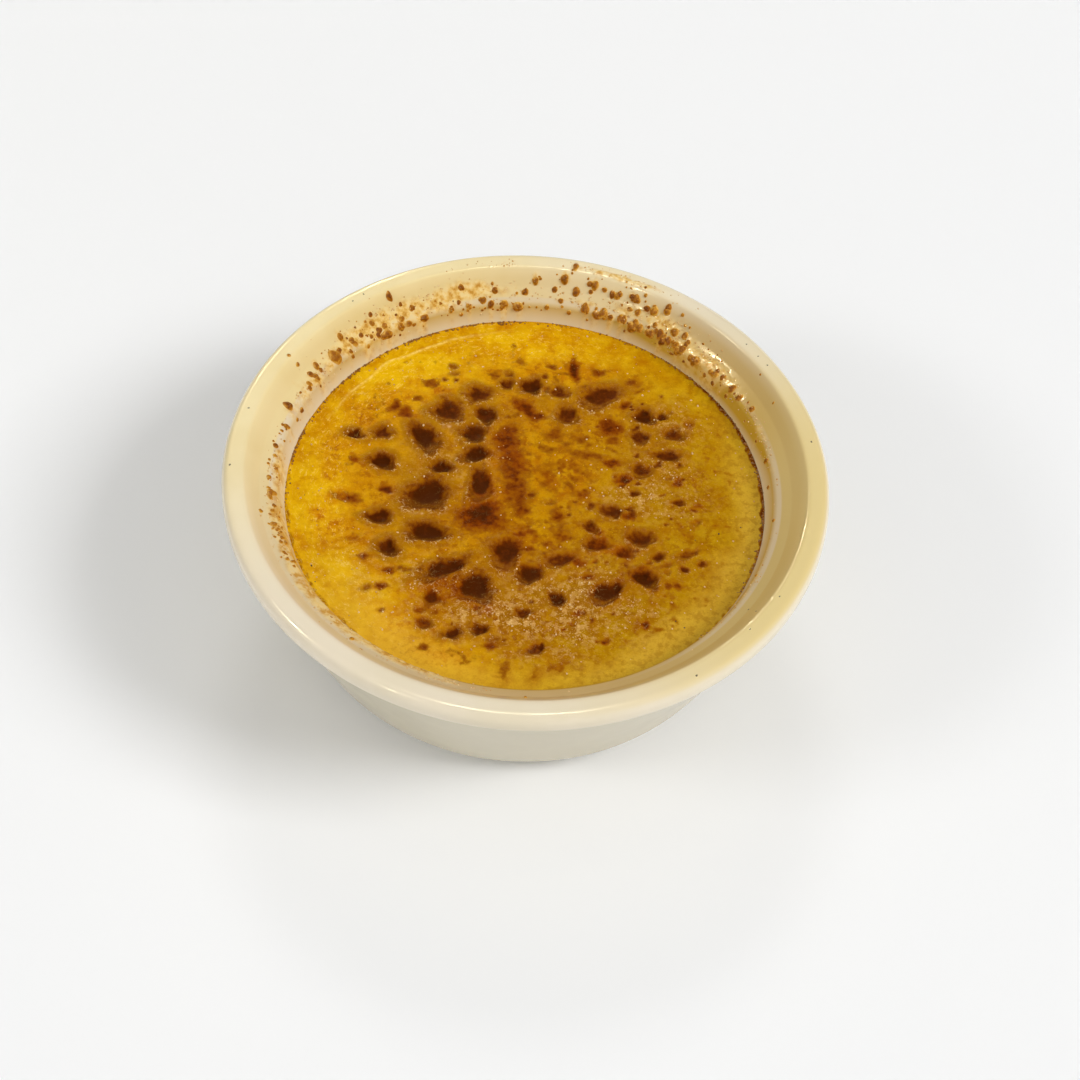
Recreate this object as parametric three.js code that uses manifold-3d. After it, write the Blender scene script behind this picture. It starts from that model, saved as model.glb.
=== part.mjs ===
// Crème brûlée in its ramekin: a thick-walled ceramic dish with a bead round its rim, and a baked
// custard with blistered burnt sugar on top. Caramel has spattered the wall above the custard.
// Millimetres, +Z up. The origin is the centre of the foot, on the table.
import * as THREE from 'three';
import { mergeVertices } from 'three/addons/utils/BufferGeometryUtils.js';
import Module from 'manifold-3d';

const wasm = await Module();
wasm.setup();

// ---- The dish -------------------------------------------------------------------------------
const RIM_RADIUS = 60;
const HEIGHT = 42;
const DISH_SEGMENTS = 88;

// Outside, from the foot up to the bead that overhangs the wall.
const FOOT_RECESS = 1;
const FOOT_INNER_RADIUS = 29;
const FOOT_CHAMFER = 1;
const BASE_RADIUS = 44.2;
const BASE_FILLET = 12;
const NECK_RADIUS = 58.1;
const NECK_HEIGHT = 37.4;
const BEAD_UNDERSIDE_RISE = 0.9;

// Inside, from the rim down: a steep band, a ledge, and the wall that holds the custard.
const MOUTH_RADIUS = 55.6;
const BAND_RADIUS = 52.75;
const BAND_HEIGHT = 38.75;
const LEDGE_RADIUS = 49.5;
const LEDGE_HEIGHT = 36.5;
const WALL_TAPER = 0.39;
const FLOOR_HEIGHT = 6;
const FLOOR_FILLET = 10;

// ---- The custard ----------------------------------------------------------------------------
const GAP = 0.3;
const CUSTARD_EDGE_HEIGHT = 32.9;
const MENISCUS_RISE = 0.6;
const MENISCUS_WIDTH = 1.3;
const CUSTARD_RINGS = 25;
const RING_SIDES = 6;
const SWELL_HEIGHT = 0.22;
const SWELL_LENGTH = 9;

// Burnt blisters: a sunken middle inside a low raised lip.
const BLISTER_DEPTH = 1.1;
const BLISTER_FULL_WIDTH = 2.6;
const LIP_RISE = 0.3;
const LIP_PLACE = 1.3;
const LIP_SPREAD = 0.3;

// x, y, half length, half width, turn in degrees
const BLISTERS = [
  [-19.8, -1.4, 3.8, 3.5, 0],
  [-21.3, 13.4, 3.8, 2.1, 115],
  [-17.2, 21.2, 3.1, 2.6, 105],
  [-11.2, 26.3, 2.6, 2.0, 40],
  [-9.2, 20.8, 2.1, 2.0, 0],
  [-11.5, 15.5, 2.5, 2.1, 0],
  [-10.7, 9.9, 2.7, 1.9, 15],
  [-9.2, 1.6, 3.7, 2.0, 100],
  [-8.6, -5.4, 3.6, 3.0, 0],
  [-29.4, 6.7, 2.2, 1.9, 0],
  [-17.4, 6.1, 2.0, 1.7, 0],
  [-28.8, -7.7, 2.5, 1.6, 15],
  [-19.2, -11.0, 3.1, 2.4, 0],
  [-26.3, -15.5, 2.0, 2.0, 0],
  [-15.4, -20.0, 4.6, 1.8, 38],
  [-8.6, -24.0, 3.5, 3.0, 0],
  [-3.2, -15.0, 3.4, 2.6, 70],
  [1.7, -19.6, 2.3, 1.9, 0],
  [7.4, -15.7, 2.8, 1.8, 30],
  [16.8, -23.0, 3.1, 2.1, 35],
  [24.3, -19.0, 2.4, 2.0, -40],
  [14.7, -11.3, 2.3, 1.7, 0],
  [23.3, -9.0, 2.6, 1.9, -10],
  [14.2, 27.9, 4.3, 2.4, 35],
  [7.4, 22.2, 2.2, 2.1, 90],
  [16.6, 19.8, 2.6, 2.2, 0],
  [23.5, 23.1, 2.2, 1.7, 0],
  [29.7, 19.0, 2.0, 1.7, -20],
  [28.5, 13.0, 2.6, 1.5, 0],
  [23.3, 8.6, 2.3, 1.7, 25],
  [-0.2, 29.8, 2.0, 1.9, 0],
  [-1.2, 23.6, 3.2, 1.7, -35],
];

// ---- Spattered caramel ----------------------------------------------------------------------
const DROP_SIDES = 7;
const DROP_BANDS = 3;
const DROP_RISE = 0.34;
const DROP_SINK = 0.3;
const DROP_SEED = 7;
const SLIVER = 0.02;

// The largest drops: azimuth in degrees, distance from the axis, width, length down the wall.
const LARGE_DROPS = [
  [47.7, 49.5, 3.4, 1.8],
  [57.3, 49.4, 1.7, 2.0],
  [65.9, 49.4, 2.5, 2.3],
  [59.6, 54.6, 1.5, 1.9],
  [75.3, 49.5, 2.4, 1.8],
  [82.4, 56.8, 1.5, 2.2],
  [84.4, 54.2, 2.1, 2.3],
  [91.0, 53.6, 1.6, 2.0],
  [95.0, 49.3, 2.6, 2.1],
  [108.3, 53.2, 1.5, 1.9],
  [118.9, 49.6, 2.4, 1.6],
  [129.6, 49.4, 3.2, 2.1],
  [125.2, 54.7, 1.4, 2.6],
  [144.5, 50.9, 2.7, 3.8],
  [140.3, 53.0, 1.5, 2.2],
  [163.3, 51.5, 2.0, 2.4],
];

// Smaller drops lie thickest at the back: azimuth from, to, distance from, to, count.
const DROP_ZONES = [
  [22, 52, 49.6, 51.0, 6],
  [52, 112, 49.5, 50.0, 8],
  [60, 132, 50.8, 54.4, 8],
  [112, 156, 49.6, 52.0, 6],
  [168, 205, 49.8, 51.4, 4],
];
const SMALL_DROP_WIDTH = [1.2, 1.8];
const SMALL_DROP_STRETCH = [0.9, 1.4];
const DROP_CLEARANCE = 0.5;

// ---- Helpers --------------------------------------------------------------------------------

// A repeatable stream of numbers between 0 and 1.
function randomStream(seed) {
  let state = seed;
  return () => {
    state = (state * 1664525 + 1013904223) % 4294967296;
    return state / 4294967296;
  };
}

// Corners are [radius, height, fillet, chords]; a corner with a fillet becomes an arc.
function roundedProfile(corners) {
  const at = (i) => new THREE.Vector2(corners[i][0], corners[i][1]);
  return corners.flatMap(([, , fillet = 0, chords = 0], i) => {
    const corner = at(i);
    if (!fillet) return [corner];
    const before = at(i - 1).sub(corner).normalize();
    const after = at(i + 1).sub(corner).normalize();
    const half = Math.acos(before.dot(after)) / 2;
    const bisector = before.clone().add(after).normalize();
    const centre = corner.clone().addScaledVector(bisector, fillet / Math.sin(half));
    const start = corner.clone().addScaledVector(before, fillet / Math.tan(half));
    const turn = Math.sign(after.cross(before)) * (Math.PI - 2 * half);
    return Array.from({ length: chords + 1 }, (_, k) =>
      start.clone().rotateAround(centre, (turn * k) / chords));
  });
}

// A closed profile turned round the Z axis, as one welded skin.
function turned(profile, segments) {
  const lathe = new THREE.LatheGeometry(profile, segments).rotateX(Math.PI / 2);
  return welded(lathe);
}

// Shares the vertices that coincide, and drops the faces that collapse on the axis.
function welded(geometry) {
  geometry.deleteAttribute('normal');
  geometry.deleteAttribute('uv');
  const merged = mergeVertices(geometry, 1e-4);
  const index = Array.from(merged.index.array);
  const kept = [];
  for (let i = 0; i < index.length; i += 3) {
    const [a, b, c] = index.slice(i, i + 3);
    if (a !== b && b !== c && c !== a) kept.push(a, b, c);
  }
  return merged.setIndex(kept);
}

function toSolid(geometry) {
  return new wasm.Manifold(new wasm.Mesh({
    numProp: 3,
    vertProperties: new Float32Array(geometry.attributes.position.array),
    triVerts: new Uint32Array(geometry.index.array),
  }));
}

function toGeometry(solid) {
  const mesh = solid.getMesh();
  return new THREE.BufferGeometry()
    .setAttribute('position', new THREE.BufferAttribute(mesh.vertProperties, 3))
    .setIndex(new THREE.BufferAttribute(mesh.triVerts, 1));
}

// ---- Ramekin --------------------------------------------------------------------------------

// The radius of the wall inside the dish at a height below the ledge.
function innerRadius(z) {
  return LEDGE_RADIUS - (LEDGE_HEIGHT - z) * WALL_TAPER;
}

function ramekinProfile() {
  return roundedProfile([
    [0, FOOT_RECESS],
    [FOOT_INNER_RADIUS, FOOT_RECESS],
    [FOOT_INNER_RADIUS + FOOT_CHAMFER, 0],
    [BASE_RADIUS, 0, BASE_FILLET, 4],
    [NECK_RADIUS, NECK_HEIGHT, 0.7, 2],
    [RIM_RADIUS, NECK_HEIGHT + BEAD_UNDERSIDE_RISE, 0.9, 2],
    [RIM_RADIUS, HEIGHT, 1.8, 4],
    [MOUTH_RADIUS, HEIGHT, 0.9, 2],
    [BAND_RADIUS, BAND_HEIGHT, 2, 2],
    [LEDGE_RADIUS, LEDGE_HEIGHT, 1.4, 3],
    [innerRadius(FLOOR_HEIGHT), FLOOR_HEIGHT, FLOOR_FILLET, 4],
    [0, FLOOR_HEIGHT],
  ]);
}

// The point on the inside of the rim, ledge or wall at a distance from the axis, and its normal.
function insideAt(profile, radius) {
  const i = profile.findIndex((p, k) => k > 0 && profile[k - 1].x > radius && p.x <= radius);
  const from = profile[i - 1];
  const to = profile[i];
  const point = from.clone().lerp(to, (from.x - radius) / (from.x - to.x));
  const along = to.clone().sub(from).normalize();
  return { point, normal: new THREE.Vector2(along.y, -along.x) };
}

// A low dome of caramel on the inside of the dish.
function dropSolid(profile, [azimuth, radius, width, length]) {
  const { point, normal } = insideAt(profile, radius);
  const angle = THREE.MathUtils.degToRad(azimuth);
  const outward = new THREE.Vector3(Math.cos(angle), Math.sin(angle), 0);
  const round = new THREE.Vector3(-Math.sin(angle), Math.cos(angle), 0);
  const proud = outward.clone().multiplyScalar(normal.x).setZ(normal.y);
  const down = new THREE.Vector3().crossVectors(proud, round);
  const rise = DROP_RISE * Math.min(width, length);
  const centre = outward.clone().multiplyScalar(point.x).setZ(point.y)
    .addScaledVector(proud, -DROP_SINK * rise);
  const dome = new THREE.SphereGeometry(1, DROP_SIDES, DROP_BANDS)
    .rotateX(Math.PI / 2)
    .scale(width / 2, length / 2, rise * (1 + DROP_SINK))
    .applyMatrix4(new THREE.Matrix4().makeBasis(round, down, proud).setPosition(centre));
  return toSolid(welded(dome));
}

// Small drops, drawn at random in each zone; those too near another drop are drawn again.
function smallDrops() {
  const random = randomStream(DROP_SEED);
  const between = (low, high) => low + (high - low) * random();
  const drops = [...LARGE_DROPS];
  const distance = (a, b) => {
    const arc = THREE.MathUtils.degToRad(a[0] - b[0]) * a[1];
    return Math.hypot(arc, a[1] - b[1]) - (a[2] + b[2]) / 2;
  };
  for (const [from, to, near, far, count] of DROP_ZONES) {
    let made = 0;
    while (made < count) {
      const width = between(...SMALL_DROP_WIDTH);
      const drop = [between(from, to), between(near, far), width, width * between(...SMALL_DROP_STRETCH)];
      if (drops.every((other) => distance(drop, other) > DROP_CLEARANCE)) {
        drops.push(drop);
        made += 1;
      }
    }
  }
  return drops.slice(LARGE_DROPS.length);
}

function ramekin() {
  const profile = ramekinProfile();
  const dish = toSolid(turned(profile, DISH_SEGMENTS));
  const drops = [...LARGE_DROPS, ...smallDrops()];
  const spattered = drops.reduce((solid, drop) => solid.add(dropSolid(profile, drop)), dish);
  const glaze = new THREE.MeshStandardMaterial({ color: 0xe9dcbc, roughness: 0.2, metalness: 0 });
  const mesh = new THREE.Mesh(toGeometry(spattered.simplify(SLIVER)), glaze);
  mesh.name = 'ramekin';
  return mesh;
}

// ---- Custard --------------------------------------------------------------------------------

function blisterRelief(x, y, [bx, by, along, across, turn]) {
  const place = new THREE.Vector2(x - bx, y - by)
    .rotateAround(new THREE.Vector2(), -THREE.MathUtils.degToRad(turn));
  const t = Math.hypot(place.x / along, place.y / across);
  const size = Math.min(1, across / BLISTER_FULL_WIDTH);
  const pit = Math.exp(-(t ** 4));
  const lip = Math.exp(-(((t - LIP_PLACE) / LIP_SPREAD) ** 2));
  return size * (LIP_RISE * lip - BLISTER_DEPTH * pit);
}

// The height of the custard's top: a gentle swell, blisters, and a meniscus up the wall.
function custardTop(x, y, edge) {
  const swell = Math.sin(x / SWELL_LENGTH + 1.3) * Math.cos(y / SWELL_LENGTH - 0.4);
  const meniscus = Math.exp((Math.hypot(x, y) - edge) / MENISCUS_WIDTH);
  const fade = 1 - meniscus;
  const relief = BLISTERS.reduce((sum, blister) => sum + blisterRelief(x, y, blister), 0);
  return CUSTARD_EDGE_HEIGHT - MENISCUS_RISE * fade + fade * (SWELL_HEIGHT * swell + relief);
}

// Ring k of the top has RING_SIDES * k points, so the points are evenly spaced all over.
function ringPoint(ring, step, spacing) {
  if (ring === 0) return new THREE.Vector2();
  const angle = (2 * Math.PI * step) / (RING_SIDES * ring);
  return new THREE.Vector2(Math.cos(angle), Math.sin(angle)).multiplyScalar(ring * spacing);
}

function ringStart(ring) {
  return ring === 0 ? 0 : 1 + (RING_SIDES * ring * (ring - 1)) / 2;
}

// Faces between ring k and ring k + 1, one sector at a time.
function ringFaces(ring) {
  const faces = [];
  const point = (k, sector, step) =>
    ringStart(k) + (k === 0 ? 0 : (sector * k + step) % (RING_SIDES * k));
  for (let sector = 0; sector < RING_SIDES; sector++) {
    for (let step = 0; step <= ring; step++) {
      const inner = point(ring, sector, step);
      faces.push(point(ring + 1, sector, step), point(ring + 1, sector, step + 1), inner);
      if (step < ring) {
        faces.push(inner, point(ring + 1, sector, step + 1), point(ring, sector, step + 1));
      }
    }
  }
  return faces;
}

// The side and bottom of the custard follow the dish, one gap inside it.
function custardSide(edge) {
  const sideGap = GAP * Math.hypot(1, WALL_TAPER);
  const bottom = FLOOR_HEIGHT + GAP;
  return roundedProfile([
    [edge, CUSTARD_EDGE_HEIGHT],
    [innerRadius(bottom) - sideGap, bottom, FLOOR_FILLET - GAP, 4],
    [0, bottom],
  ]);
}

function custardGeometry() {
  const edge = innerRadius(CUSTARD_EDGE_HEIGHT) - GAP * Math.hypot(1, WALL_TAPER);
  const spacing = edge / CUSTARD_RINGS;
  const positions = [];
  const faces = [];
  for (let ring = 0; ring <= CUSTARD_RINGS; ring++) {
    for (let step = 0; step < Math.max(1, RING_SIDES * ring); step++) {
      const { x, y } = ringPoint(ring, step, spacing);
      positions.push(x, y, custardTop(x, y, edge));
    }
    if (ring < CUSTARD_RINGS) faces.push(...ringFaces(ring));
  }
  // Copies of the outermost ring go down the wall and close on the middle of the bottom.
  const around = RING_SIDES * CUSTARD_RINGS;
  let above = ringStart(CUSTARD_RINGS);
  const side = custardSide(edge).slice(1);
  for (const { x: radius, y: height } of side.slice(0, -1)) {
    const below = positions.length / 3;
    for (let step = 0; step < around; step++) {
      const { x, y } = ringPoint(CUSTARD_RINGS, step, radius / CUSTARD_RINGS);
      const next = (step + 1) % around;
      positions.push(x, y, height);
      faces.push(above + step, below + step, below + next);
      faces.push(above + step, below + next, above + next);
    }
    above = below;
  }
  const centre = positions.length / 3;
  positions.push(0, 0, side.at(-1).y);
  for (let step = 0; step < around; step++) {
    faces.push(above + step, centre, above + ((step + 1) % around));
  }
  return new THREE.BufferGeometry()
    .setAttribute('position', new THREE.Float32BufferAttribute(positions, 3))
    .setIndex(faces);
}

function custard() {
  const burntSugar = new THREE.MeshStandardMaterial({ color: 0xc98f1e, roughness: 0.35, metalness: 0 });
  const mesh = new THREE.Mesh(custardGeometry(), burntSugar);
  mesh.name = 'custard';
  return mesh;
}

// ---- Assembly -------------------------------------------------------------------------------
const cremeBrulee = new THREE.Group();
cremeBrulee.add(ramekin(), custard());

export default cremeBrulee;
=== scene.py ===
"""Looks of a creme brulee in its glazed dish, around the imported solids.

The custard's top is a fine height field with blisters of burnt sugar. The dish's inside carries a
film of spattered sugar. Drops, grains and crumbs are real meshes set out by seeded rules.
Metres, +Z up. Places in the tables are in millimetres, x to the right and y away from the viewer.
"""
import math

import bpy
import numpy as np
from mathutils import Matrix, Vector


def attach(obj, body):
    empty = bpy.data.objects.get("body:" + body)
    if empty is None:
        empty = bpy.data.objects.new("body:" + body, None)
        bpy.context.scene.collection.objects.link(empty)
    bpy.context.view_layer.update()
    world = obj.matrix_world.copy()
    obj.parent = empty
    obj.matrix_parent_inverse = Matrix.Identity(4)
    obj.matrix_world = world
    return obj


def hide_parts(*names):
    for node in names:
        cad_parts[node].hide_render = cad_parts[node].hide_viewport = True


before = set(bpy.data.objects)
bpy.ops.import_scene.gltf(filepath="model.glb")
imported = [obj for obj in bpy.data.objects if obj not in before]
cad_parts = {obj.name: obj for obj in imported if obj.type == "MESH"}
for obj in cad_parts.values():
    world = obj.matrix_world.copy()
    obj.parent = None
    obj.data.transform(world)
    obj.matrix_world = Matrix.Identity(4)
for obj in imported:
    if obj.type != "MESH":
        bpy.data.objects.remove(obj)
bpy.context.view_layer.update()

MM = 0.001

# ---- The dish, as its solid has it ----------------------------------------------------------
RIM_RADIUS = 60.0 * MM
HEIGHT = 42.0 * MM
FOOT_RECESS = 1.0 * MM
FOOT_INNER_RADIUS = 29.0 * MM
FOOT_CHAMFER = 1.0 * MM
BASE_RADIUS = 44.2 * MM
BASE_FILLET = 12.0 * MM
NECK_RADIUS = 58.1 * MM
NECK_HEIGHT = 37.4 * MM
BEAD_UNDERSIDE_RISE = 0.9 * MM
MOUTH_RADIUS = 55.6 * MM
BAND_RADIUS = 52.75 * MM
BAND_HEIGHT = 38.75 * MM
LEDGE_RADIUS = 49.5 * MM
LEDGE_HEIGHT = 36.5 * MM
WALL_TAPER = 0.39
FLOOR_HEIGHT = 6.0 * MM
FLOOR_FILLET = 10.0 * MM
DISH_SEGMENTS = 720
FILM_THICKNESS = 0.22 * MM
GLAZE_UNEVENNESS = 0.05 * MM

# Where spattered sugar has dried on the dish: azimuth, half spread, distance from the axis, half
# spread (degrees, mm), strength.
FILM_PLACES = [
    (128, 24, 51.3, 2.4, 1.0), (108, 15, 52.2, 1.8, 0.85), (152, 13, 50.3, 1.3, 0.7),
    (45, 14, 50.3, 1.7, 1.0), (62, 12, 52.0, 1.9, 0.8), (80, 12, 51.0, 1.0, 0.5),
    (72, 12, 56.6, 1.1, 0.8), (100, 9, 56.4, 1.0, 0.35), (222, 20, 50.4, 1.9, 1.0),
    (202, 18, 50.0, 1.8, 1.0), (240, 18, 50.0, 1.4, 0.95), (182, 12, 49.8, 1.3, 0.75),
    (256, 10, 51.2, 0.6, 0.5), (20, 14, 50.0, 0.9, 0.4), (330, 16, 49.8, 0.7, 0.35),
]
# Where that film is pale and thick: azimuth, half spread, strength.
PALE_CRUST = [(208, 42, 1.0), (45, 14, 0.5)]
# Where the rim is yellower, partly stain and partly painted warm light: azimuth, half spread, strength.
YELLOW_PLACES = [(140, 62, 1.0), (85, 25, 0.6)]
# Where it is tan, partly stain and partly painted shade: the same columns.
TAN_PLACES = [(345, 52, 1.0)]
# The brown deepening towards the custard, stain and painted shade: distance from the axis in mm, share.
STAIN_AND_SHADE_RADII = (48.0, 49.3, 50.2, 54.0, 56.5)
STAIN_AND_SHADE_SHARES = (1.0, 0.85, 0.42, 0.34, 0.0)
# Deeper as painted shade on the right and front, thinner on the lit left: azimuth, half spread, strength.
DEEPER_STAIN_AND_SHADE = [(280, 30, 0.6), (40, 26, 0.9)]
THINNER_STAIN_AND_SHADE = [(172, 24, 0.4)]

# ---- The custard, as its solid has it -------------------------------------------------------
GAP = 0.3 * MM
CUSTARD_EDGE_HEIGHT = 32.9 * MM
WALL_BITE = 0.2 * MM
MENISCUS_RISE = 0.6 * MM
MENISCUS_WIDTH = 1.3 * MM
SWELL_HEIGHT = 0.22 * MM
SWELL_LENGTH = 9.0 * MM
SWELL_SHIFTS = (1.3, -0.4)
LIP_RISE = 0.3 * MM
LIP_PLACE = 1.3
LIP_SPREAD = 0.3
FULL_LIP_WIDTH = 2.0
TOP_RINGS = 174
RING_SIDES = 6

# Burnt blisters: x, y, half length, half width, turn in degrees, darkness, depth.
WELLS = [
    (-19.8, -1.4, 3.8, 3.5, 0, 1.0, 1.2), (-21.3, 13.4, 3.8, 2.1, 115, 0.95, 0.9),
    (-17.2, 21.2, 3.1, 2.6, 105, 0.85, 0.5), (-11.2, 26.3, 2.6, 2.0, 40, 0.8, 0.4),
    (-9.2, 20.8, 2.1, 2.0, 0, 0.85, 0.8), (-11.5, 15.5, 2.5, 2.1, 0, 0.9, 1.0),
    (-10.7, 9.9, 2.7, 1.9, 15, 0.95, 0.9), (-9.2, 1.6, 3.7, 2.0, 100, 0.95, 0.6),
    (-29.4, 6.7, 2.2, 1.9, 0, 1.0, 1.1), (-17.4, 6.1, 2.0, 1.7, 0, 0.9, 1.0),
    (-28.8, -7.7, 2.5, 1.6, 15, 0.9, 0.9), (-19.2, -11.0, 3.1, 2.4, 0, 1.0, 1.1),
    (-26.3, -15.5, 2.0, 2.0, 0, 0.9, 1.0), (-15.4, -20.0, 4.6, 1.8, 38, 0.9, 0.8),
    (-8.6, -24.0, 3.5, 3.0, 0, 1.0, 1.0), (-3.2, -15.0, 3.4, 2.6, 70, 0.9, 0.6),
    (1.7, -19.6, 2.3, 1.9, 0, 0.95, 0.8), (7.4, -15.7, 2.8, 1.8, 30, 0.75, 0.5),
    (16.8, -23.0, 3.1, 2.1, 35, 0.95, 0.9), (24.3, -19.0, 2.4, 2.0, -40, 0.95, 1.0),
    (14.7, -11.3, 2.3, 1.7, 0, 0.8, 0.7), (23.3, -9.0, 2.6, 1.9, -10, 0.8, 0.7),
    (14.2, 27.9, 4.3, 2.4, 35, 0.8, 0.4), (7.4, 22.2, 2.2, 2.1, 90, 0.8, 0.5),
    (23.5, 23.1, 2.2, 1.7, 0, 0.9, 0.9), (29.7, 19.0, 2.0, 1.7, -20, 0.75, 0.7),
    (28.5, 13.0, 2.6, 1.5, 0, 0.8, 0.6), (23.3, 8.6, 2.3, 1.7, 25, 0.75, 0.5),
    (-0.2, 29.8, 2.0, 1.9, 0, 0.95, 1.0), (-35.7, 13.5, 1.7, 1.2, -25, 0.9, 0.7),
    (-30.3, 14.3, 1.7, 1.6, 0, 0.8, 0.5), (-5.4, 30.0, 1.4, 1.3, 0, 0.75, 0.5),
    (5.7, 28.5, 1.9, 1.5, 0, 0.7, 0.5), (27.3, 23.5, 1.1, 1.0, 0, 0.75, 0.8),
    (22.8, 17.5, 1.8, 1.6, 0, 0.8, 0.6), (21.8, 2.5, 0.9, 0.8, 0, 0.75, 0.7),
    (30.9, 0.9, 1.1, 0.8, 0, 0.7, 0.6), (-16.8, -26.9, 1.7, 1.3, 90, 0.85, 0.7),
    (7.4, -25.3, 1.6, 1.5, 0, 0.9, 1.0), (1.1, -28.9, 1.6, 1.2, 0, 0.75, 0.7),
    (13.3, -7.0, 1.5, 1.1, -30, 0.75, 0.6), (17.2, -2.6, 2.1, 1.6, 0, 0.75, 0.4),
    (20.3, -12.9, 1.8, 1.3, 0, 0.75, 0.6), (26.7, -13.3, 1.5, 1.0, 20, 0.7, 0.6),
    (32.6, -12.3, 2.0, 1.0, 30, 0.6, 0.5), (-17.8, -33.2, 1.4, 1.2, 0, 0.7, 0.6),
    (-12.2, -35.0, 1.7, 1.2, 10, 0.85, 0.7), (-7.4, -33.6, 1.5, 1.4, 0, 0.8, 0.9),
    (3.7, -37.5, 1.9, 1.2, 25, 0.7, 0.4),
]

# Scorched patches with soft edges, hardly sunk: the same columns.
SCORCHES = [
    (-8.6, -5.4, 3.6, 3.0, 0, 0.85, 0.4), (16.6, 19.8, 2.6, 2.2, 0, 0.7, 0.3),
    (-1.2, 23.6, 3.2, 1.7, -35, 0.75, 0.4), (-4.6, 14.6, 4.8, 2.5, 92, 0.66, 0.2),
    (-2.6, 6.0, 5.0, 2.6, 97, 0.6, 0.15), (-1.5, -0.5, 5.0, 2.4, 95, 0.56, 0.1),
    (-10.5, -5.6, 3.0, 2.6, 0, 0.7, 0.2), (4.4, 6.6, 3.2, 2.0, 90, 0.42, 0.1),
    (8.6, 3.2, 2.6, 1.8, 90, 0.4, 0.1), (10.5, 15.5, 3.4, 1.0, -25, 0.45, 0.1),
    (-28.3, 21.8, 2.0, 1.0, 65, 0.65, 0.2), (-26.0, 20.2, 1.8, 1.1, -35, 0.7, 0.3),
    (-8.1, 32.4, 1.2, 1.3, 0, 0.5, 0.2), (1.4, 21.7, 1.6, 1.3, 0, 0.65, 0.3),
    (8.5, 35.4, 2.7, 1.2, 95, 0.8, 0.4), (13.7, 34.8, 1.4, 1.2, 0, 0.6, 0.3),
    (21.0, 32.8, 1.9, 1.3, 20, 0.5, 0.2), (19.6, 26.1, 1.3, 1.1, 60, 0.65, 0.3),
    (17.3, 16.2, 1.6, 1.4, 0, 0.55, 0.1), (5.0, 16.8, 2.3, 1.8, 0, 0.55, 0.2),
    (17.0, 10.2, 1.7, 1.1, -10, 0.65, 0.3), (12.5, 11.8, 3.6, 1.1, -15, 0.5, 0.1),
    (19.6, 6.2, 1.9, 1.2, 15, 0.75, 0.4), (30.6, 6.2, 1.3, 1.0, 90, 0.65, 0.3),
    (-0.6, -4.0, 2.0, 1.5, 90, 0.6, 0.2), (-35.4, 6.9, 1.4, 1.0, -30, 0.55, 0.2),
    (-28.1, -0.4, 1.4, 1.1, 0, 0.75, 0.4), (-34.8, -3.7, 2.0, 1.3, 0, 0.6, 0.1),
    (-30.8, -18.2, 1.2, 1.0, 0, 0.6, 0.4), (-25.5, -21.0, 1.1, 0.9, 0, 0.65, 0.5),
    (-26.8, -24.9, 1.1, 0.9, 0, 0.65, 0.4), (-0.6, -9.7, 1.3, 1.1, 0, 0.6, 0.3),
    (1.1, -13.3, 1.6, 1.1, 0, 0.55, 0.2), (7.7, -9.7, 2.3, 1.2, 0, 0.55, 0.2),
    (6.7, -4.7, 1.7, 1.4, 0, 0.6, 0.2), (20.8, -3.4, 1.9, 0.9, 0, 0.65, 0.3),
    (11.3, -16.0, 1.4, 1.1, 0, 0.65, 0.4), (13.3, -19.3, 1.4, 1.1, 0, 0.65, 0.3),
    (30.6, -20.3, 1.4, 1.2, 0, 0.5, 0.1), (11.3, -28.3, 1.2, 0.9, 20, 0.65, 0.4),
    (24.6, -30.2, 1.1, 1.0, 0, 0.65, 0.4), (17.0, -34.7, 0.8, 0.7, 0, 0.65, 0.2),
    (-17.5, -38.7, 1.0, 0.9, 0, 0.55, 0.3), (-4.9, -37.2, 1.7, 0.8, 15, 0.65, 0.3),
    (-21.2, 28.5, 1.8, 1.3, 0, 0.55, 0.1), (-23.5, 24.1, 1.1, 0.9, 0, 0.55, 0.2),
    (-3.2, 36.7, 1.4, 1.1, 0, 0.45, 0.1), (4.0, 36.0, 1.1, 0.9, 0, 0.5, 0.2),
    (32.9, 21.8, 1.7, 1.0, 90, 0.5, 0.3), (11.3, 0.9, 2.2, 1.5, 0, 0.5, 0.1),
    (34.0, -0.8, 0.9, 0.8, 0, 0.55, 0.2), (-13.5, -22.6, 5.0, 3.6, 25, 0.48, 0.1),
    (-2.6, -15.4, 4.6, 3.4, 60, 0.5, 0.1), (16.2, -23.6, 4.2, 2.8, 20, 0.45, 0.1),
]

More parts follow.
